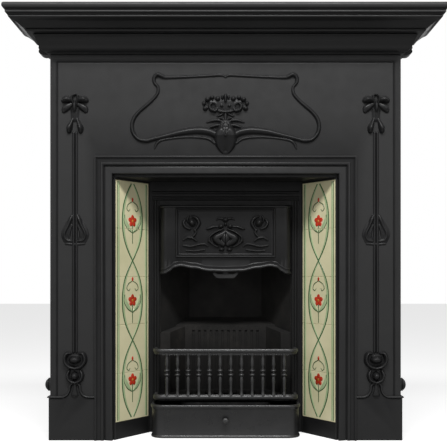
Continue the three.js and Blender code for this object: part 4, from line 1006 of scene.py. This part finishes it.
def hoodEdge(x):  # height of the scalloped lower edge over x
    h = hood
    x = min(abs(x), h["half"])
    for (x0, y0), (x1, y1) in zip(h["scallop"][:-1], h["scallop"][1:]):
        if x <= x1:
            t = (x - x0) / (x1 - x0)
            t = t * t * (3 - 2 * t)
            return h["foot"] + h["arch"] * (y0 + t * (y1 - y0))
    return h["foot"]


def hoodPlan(steps=10):  # plan line from the back of one wing round the front to the other
    h, back = hood, inset["front"] + inset["wall"] + hood["gap"]
    r, across = h["round"], h["across"]
    span, turn = h["half"] - r, h["front"] + r
    line = [(-h["half"], back - (back - turn) * i / 3, -1.0, 0.0) for i in range(3)]
    line += [(-span - r * c, turn - r * s, -c, s) for c, s in arc(0, 0, 1, 0, 90, steps)]
    wing = [(-x, d, -nx, nd) for x, d, nx, nd in reversed(line)]
    line += [(-span + 2 * span * i / across, h["front"], 0.0, 1.0) for i in range(1, across)]
    return line + wing


def makeHood():
    h = hood
    edge, panel, top = "edge", "panel", "top"  # what a row's height is measured from
    lowRoll = [(0, 0), (0.9, 0.4), (1.7, 1.6), (2.0, 3.4), (1.6, 5.4), (0.6, 6.8), (0, 8)]
    ledge = [(0, 13.5), (0.7, 14.6), (1.0, 16.2), (0.7, 17.8), (0, 19)]
    topRoll = [(0, -9), (1.6, -8.2), (3.2, -6.4), (3.8, -4.2), (3.0, -1.8), (1.4, -0.3), (0, 0),
               (-h["wall"], 0)]
    profile = [(*row, edge) for row in lowRoll + ledge] + [(0, -1, panel)] + [(*row, top) for row in topRoll]
    profile.append((-h["wall"], 0, edge))
    stations = []
    for x, d, nx, nd in hoodPlan():
        low = hoodEdge(x)

        def station(out, rise, zone, x=x, d=d, nx=nx, nd=nd, low=low):
            z = rise + {edge: low, panel: h["panelFoot"], top: h["top"]}[zone]
            lean = h["lean"] * nd if zone == edge else 0
            return (x + out * nx, d - out * nd + lean, z)
        stations.append(station)
    wall, front, turn = h["wall"], h["front"], h["round"]
    back = inset["front"] + inset["wall"] + h["gap"]
    under, over = h["top"] - wall, h["top"] - 0.2
    inner, x = h["half"] - 1, h["half"] + h["flange"]
    parts = [
        sweep(profile, stations),
        block(-inner, inner, front + turn, back, under, over),
        block(-h["half"] + turn, h["half"] - turn, front + 1, front + turn + 1, under, over),
        block(-x, x, back, back + wall, under, h["top"] + h["flange"]),
    ]
    for _, side in sides:
        x0, x1 = sorted((side * (h["half"] - wall), side * x))
        parts.append(block(x0, x1, back, back + wall, h["earFoot"], h["top"]))
    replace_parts(makePiece("hoodShell", gather(*parts), hoodIron, sharp=45), "hood")


def hoodRelief():  # heights are counted from the middle of the panel
    w, tall = hood["panelHalf"], (hood["panelTop"] - hood["panelFoot"]) / 2
    r = startRelief(-w - 8, w + 8, -tall - 8, tall + 8, 1.0)
    for inner, half, rise in ((0, 3.2, 6.5), (7.5, 1.4, 2.0)):  # a bold bead and a fine one inside it
        a, b = w - inner, tall - inner
        for x0, z0, x1, z1 in ((-a, -b, a, -b), (-a, b, a, b), (-a, -b, -a, b), (a, -b, a, b)):
            addStroke(r, [(x0, z0, half, rise), (x1, z1, half, rise)], steps=1)
    # flowers at both sides, each a bud in two curled petals
    addPair(r, [(130, 45, 3, 5), (136, 33, 5.5, 11), (130, 19, 6, 12), (116, 12, 4.5, 8)], steps=30)
    addPair(r, [(108, 54, 3.5, 6), (94, 47, 6, 12), (86, 32, 6.5, 13), (92, 17, 5, 10),
                (100, 7, 4, 7)], steps=30)
    for turn in (-1, 1):
        addDome(r, -turn * 109, 33, 11.5, 15, 18, turn=turn * 28)
    addPair(r, [(119, 54, 3, 6), (124, 43, 4, 9), (121, 34, 3, 5)])
    # stems and leaves
    addPair(r, [(100, 9, 4.5, 9), (96, 0, 4, 8), (106, -12, 4, 8), (116, -20, 3, 5)], steps=30)
    addPair(r, [(94, -27, 3, 5), (106, -18, 5, 9), (122, -15, 5, 9), (137, -24, 3, 5)], steps=30)
    addPair(r, [(138, -41, 3, 5), (112, -44, 4.5, 9), (84, -38, 4.5, 9), (68, -37, 4, 8),
                (58, -44, 3, 5)], steps=40)
    addPair(r, [(128, -58, 2.5, 4), (100, -59, 3.5, 7), (68, -55, 3, 6)])
    # middle: bud, knobs, wings and a full heart between ridges
    addDome(r, 0, 42, 10, 8.5, 14)
    addPair(r, [(9, 45, 4, 8), (20, 47, 3.5, 7), (29, 42, 2, 4)])
    for turn in (-1, 1):
        for x, *rest in ((15, 21, 9, 8.5, 15), (13, -54, 10, 7, 13), (53, -27, 6, 7, 11)):
            addDome(r, turn * x, *rest)
    addDome(r, 0, 29, 5, 9, 9)
    addPair(r, [(24, 20, 4, 8), (40, 19, 5, 10), (54, 14, 4.5, 9), (62, 12, 2.5, 4)])
    addPair(r, [(8, 12, 3, 8), (26, 5, 3.5, 10), (44, -6, 4, 12), (53, -18, 4, 12), (49, -31, 4, 11),
                (34, -42, 3.5, 9), (24, -46, 3, 6)], steps=50)
    addPair(r, [(1, 4, 5, 9), (13, -7, 11, 14), (29, -17, 13.5, 17), (25, -27, 12, 15),
                (8, -37, 9, 10)], steps=30, flat=3)
    addDome(r, 0, -18, 19, 24, 15)
    addVein(r, [(0, -2, 1.5, 3), (0, -38, 1.5, 3)])
    return r


makeHood()
hoodMiddle = (hood["panelTop"] + hood["panelFoot"]) / 2
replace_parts(makeRelief("hoodPanelRelief", hoodRelief(), hood["front"], foot=1.0, shiftZ=hoodMiddle), "hood")
print("inset and hood ready")


# Front bars: two rails with rounded corners and twelve turned balusters, fine beading under the top rail
bars = {
    "half": 234,
    "front": 60,
    "corner": 34,
    "end": 129.4,
    "railDepth": 12,
    "top": 280,
    "railFoot": 261,
    "lowTop": 132.5,
    "lowFoot": 114,
    "span": 376,
    "count": 12,
    "swell": 8.8,
    "drawnHeight": 126,  # a baluster's outline is drawn over this height and stretched to the gap
    "pearlPitch": 5.2,
    "pearl": 1.9,
}


def frontPath(half, front, corner, end, turns=10):  # from one end round the front to the other
    right = arc(0, 0, 1, 0, 90, turns)
    ends = [lambda n, z, s=s: (s * (half + n), end, z) for s in (-1, 1)]
    stations = [ends[0]]
    for s, run in ((-1, right), (1, right[::-1])):
        for c, d in run:
            stations.append(lambda n, z, s=s, c=c, d=d: (
                s * (half - corner + (corner + n) * c), front + corner - (corner + n) * d, z))
    return [*stations, ends[1]]


def makeBars():
    b = bars
    path = frontPath(b["half"], b["front"], b["corner"], b["end"])
    t, foot, rear = b["top"], b["railFoot"], -b["railDepth"]
    nose = arc(-4.4, t - 7, 5.2, 84, -60, 11, 6.8)
    topRail = [(rear, foot + 3), (rear, t - 1), (rear + 1, t), (-5, t), *nose, (-2.6, foot + 4.6),
               (-3.4, foot + 1), (-5, foot), (rear + 3, foot)]
    low, lowTop = b["lowFoot"], b["lowTop"]
    roll = arc(-5.4, (low + lowTop) / 2, 6.2, 84, -84, 14, (lowTop - low) / 2 - 0.4)
    lowRail = [(rear, low), (rear, lowTop), (-5, lowTop), *roll, (-5, low)]
    parts = [sweep(topRail, path), sweep(lowRail, path)]
    unit = (foot - lowTop) / b["drawnHeight"]
    swells = [arc(5, z, b["swell"] - 5, -75, 75, 7, 3.8) for z in (62.8, 76.2)]
    outline = flow([(5.4, 5), (4.6, 12), (5.0, 30), (6.0, 45), (5.0, 55)], 14)
    upper = flow([(4.6, 88), (6.0, 96), (5.4, 110), (4.6, 119), (5.4, 124)], 12)
    profile = [(6.6, -4), (6.6, 1.2), (6.2, 2.4), (5.6, 3.4), *outline, (4.2, 57.5), (5.6, 58.6), *swells[0],
               (4.6, 67.6), (4.2, 69.5), (4.6, 71.4), *swells[1], (4.6, 81), (4.1, 84), *upper,
               (6, 126), (6, 130)]
    profile = [(r, z * unit) for r, z in profile]
    for i in range(b["count"]):
        x = (i / (b["count"] - 1) - 0.5) * b["span"]
        parts.append(turned(profile, (x, b["front"] + b["railDepth"] / 2, lowTop), toTop, 20))
    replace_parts(makePiece("turnedBars", gather(*parts), polishedIron, body="front_bars"), "front_bars")
    flatHalf, r = b["half"] - b["corner"], b["pearl"]
    count = round(2 * flatHalf / b["pearlPitch"])
    ball = arc(0.02, 0, r, -90, 90, 6)
    pearls = []
    for i in range(count + 1):
        x = -flatHalf + 2 * flatHalf * i / count
        pearls.append(turned(ball, (x, b["front"] + 3.4, foot - 0.4), toTop, 8))
    makePiece("railPearls", gather(*pearls), polishedIron, body="front_bars", sharp=80)


makeBars()

# Ash drawer front with its lip, foot bead and knob
ashDrawer = {
    "half": 235,
    "front": 29,
    "corner": 40,
    "wall": 5,
    "foot": 1,
    "top": 105,
    "knobHeight": 56,
    "knobRadius": 11,
}


def makeAshDrawer():
    a = ashDrawer
    path = frontPath(a["half"], a["front"], a["corner"], bars["end"], 12)
    foot, top, t = a["foot"], a["top"], a["wall"]
    bead = arc(1.0, foot + 3.4, 2.4, -75, 75, 8, 3.2)
    lip = arc(1.2, top - 5.2, 3.2, -70, 80, 10, 5.2)
    section = [(-t, foot), (1.4, foot), *bead, (0.4, foot + 8), (0, foot + 9.5), (0, top - 15),
               (0.5, top - 13.5), (1.6, top - 12.6), *lip, (0, top), (-t, top)]
    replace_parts(makePiece("ashCover", sweep(section, path), polishedIron, body="ash_drawer"), "ash_cover")
    face = arc(0, 14, a["knobRadius"], -38, 60, 12, 6.2)
    profile = [(8.5, 0), (8.5, 0.9), (7.6, 2.0), (5.4, 2.8), (4.6, 5), (5.0, 7.5), (7.0, 9.2), *face,
               (4.2, 19.8), (1.2, 20)]
    shape = turned(profile, (0, a["front"] - 0.3, a["knobHeight"]), toFront, 36)
    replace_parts(makePiece("ashKnob", shape, polishedIron, body="ash_drawer"), "ash_cover_knob")


makeAshDrawer()
print("bars and drawer ready")


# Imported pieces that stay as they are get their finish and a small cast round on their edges
carried = {"edgeRound": 0.0009, "sharperThan": 35}
for row in frame["record"]["subparts"]:
    node, finish = nodes[row["node"]], finishOfSlot[row["material_slot"]]
    node.data.materials.clear()
    # the soffit takes the darker iron that paints the recess's shade
    node.data.materials.append(recessShadeIron if row["node"] == "recess_soffit" else finish)
    roundEdges(node, carried["edgeRound"], carried["sharperThan"])
print("packed pieces dressed")
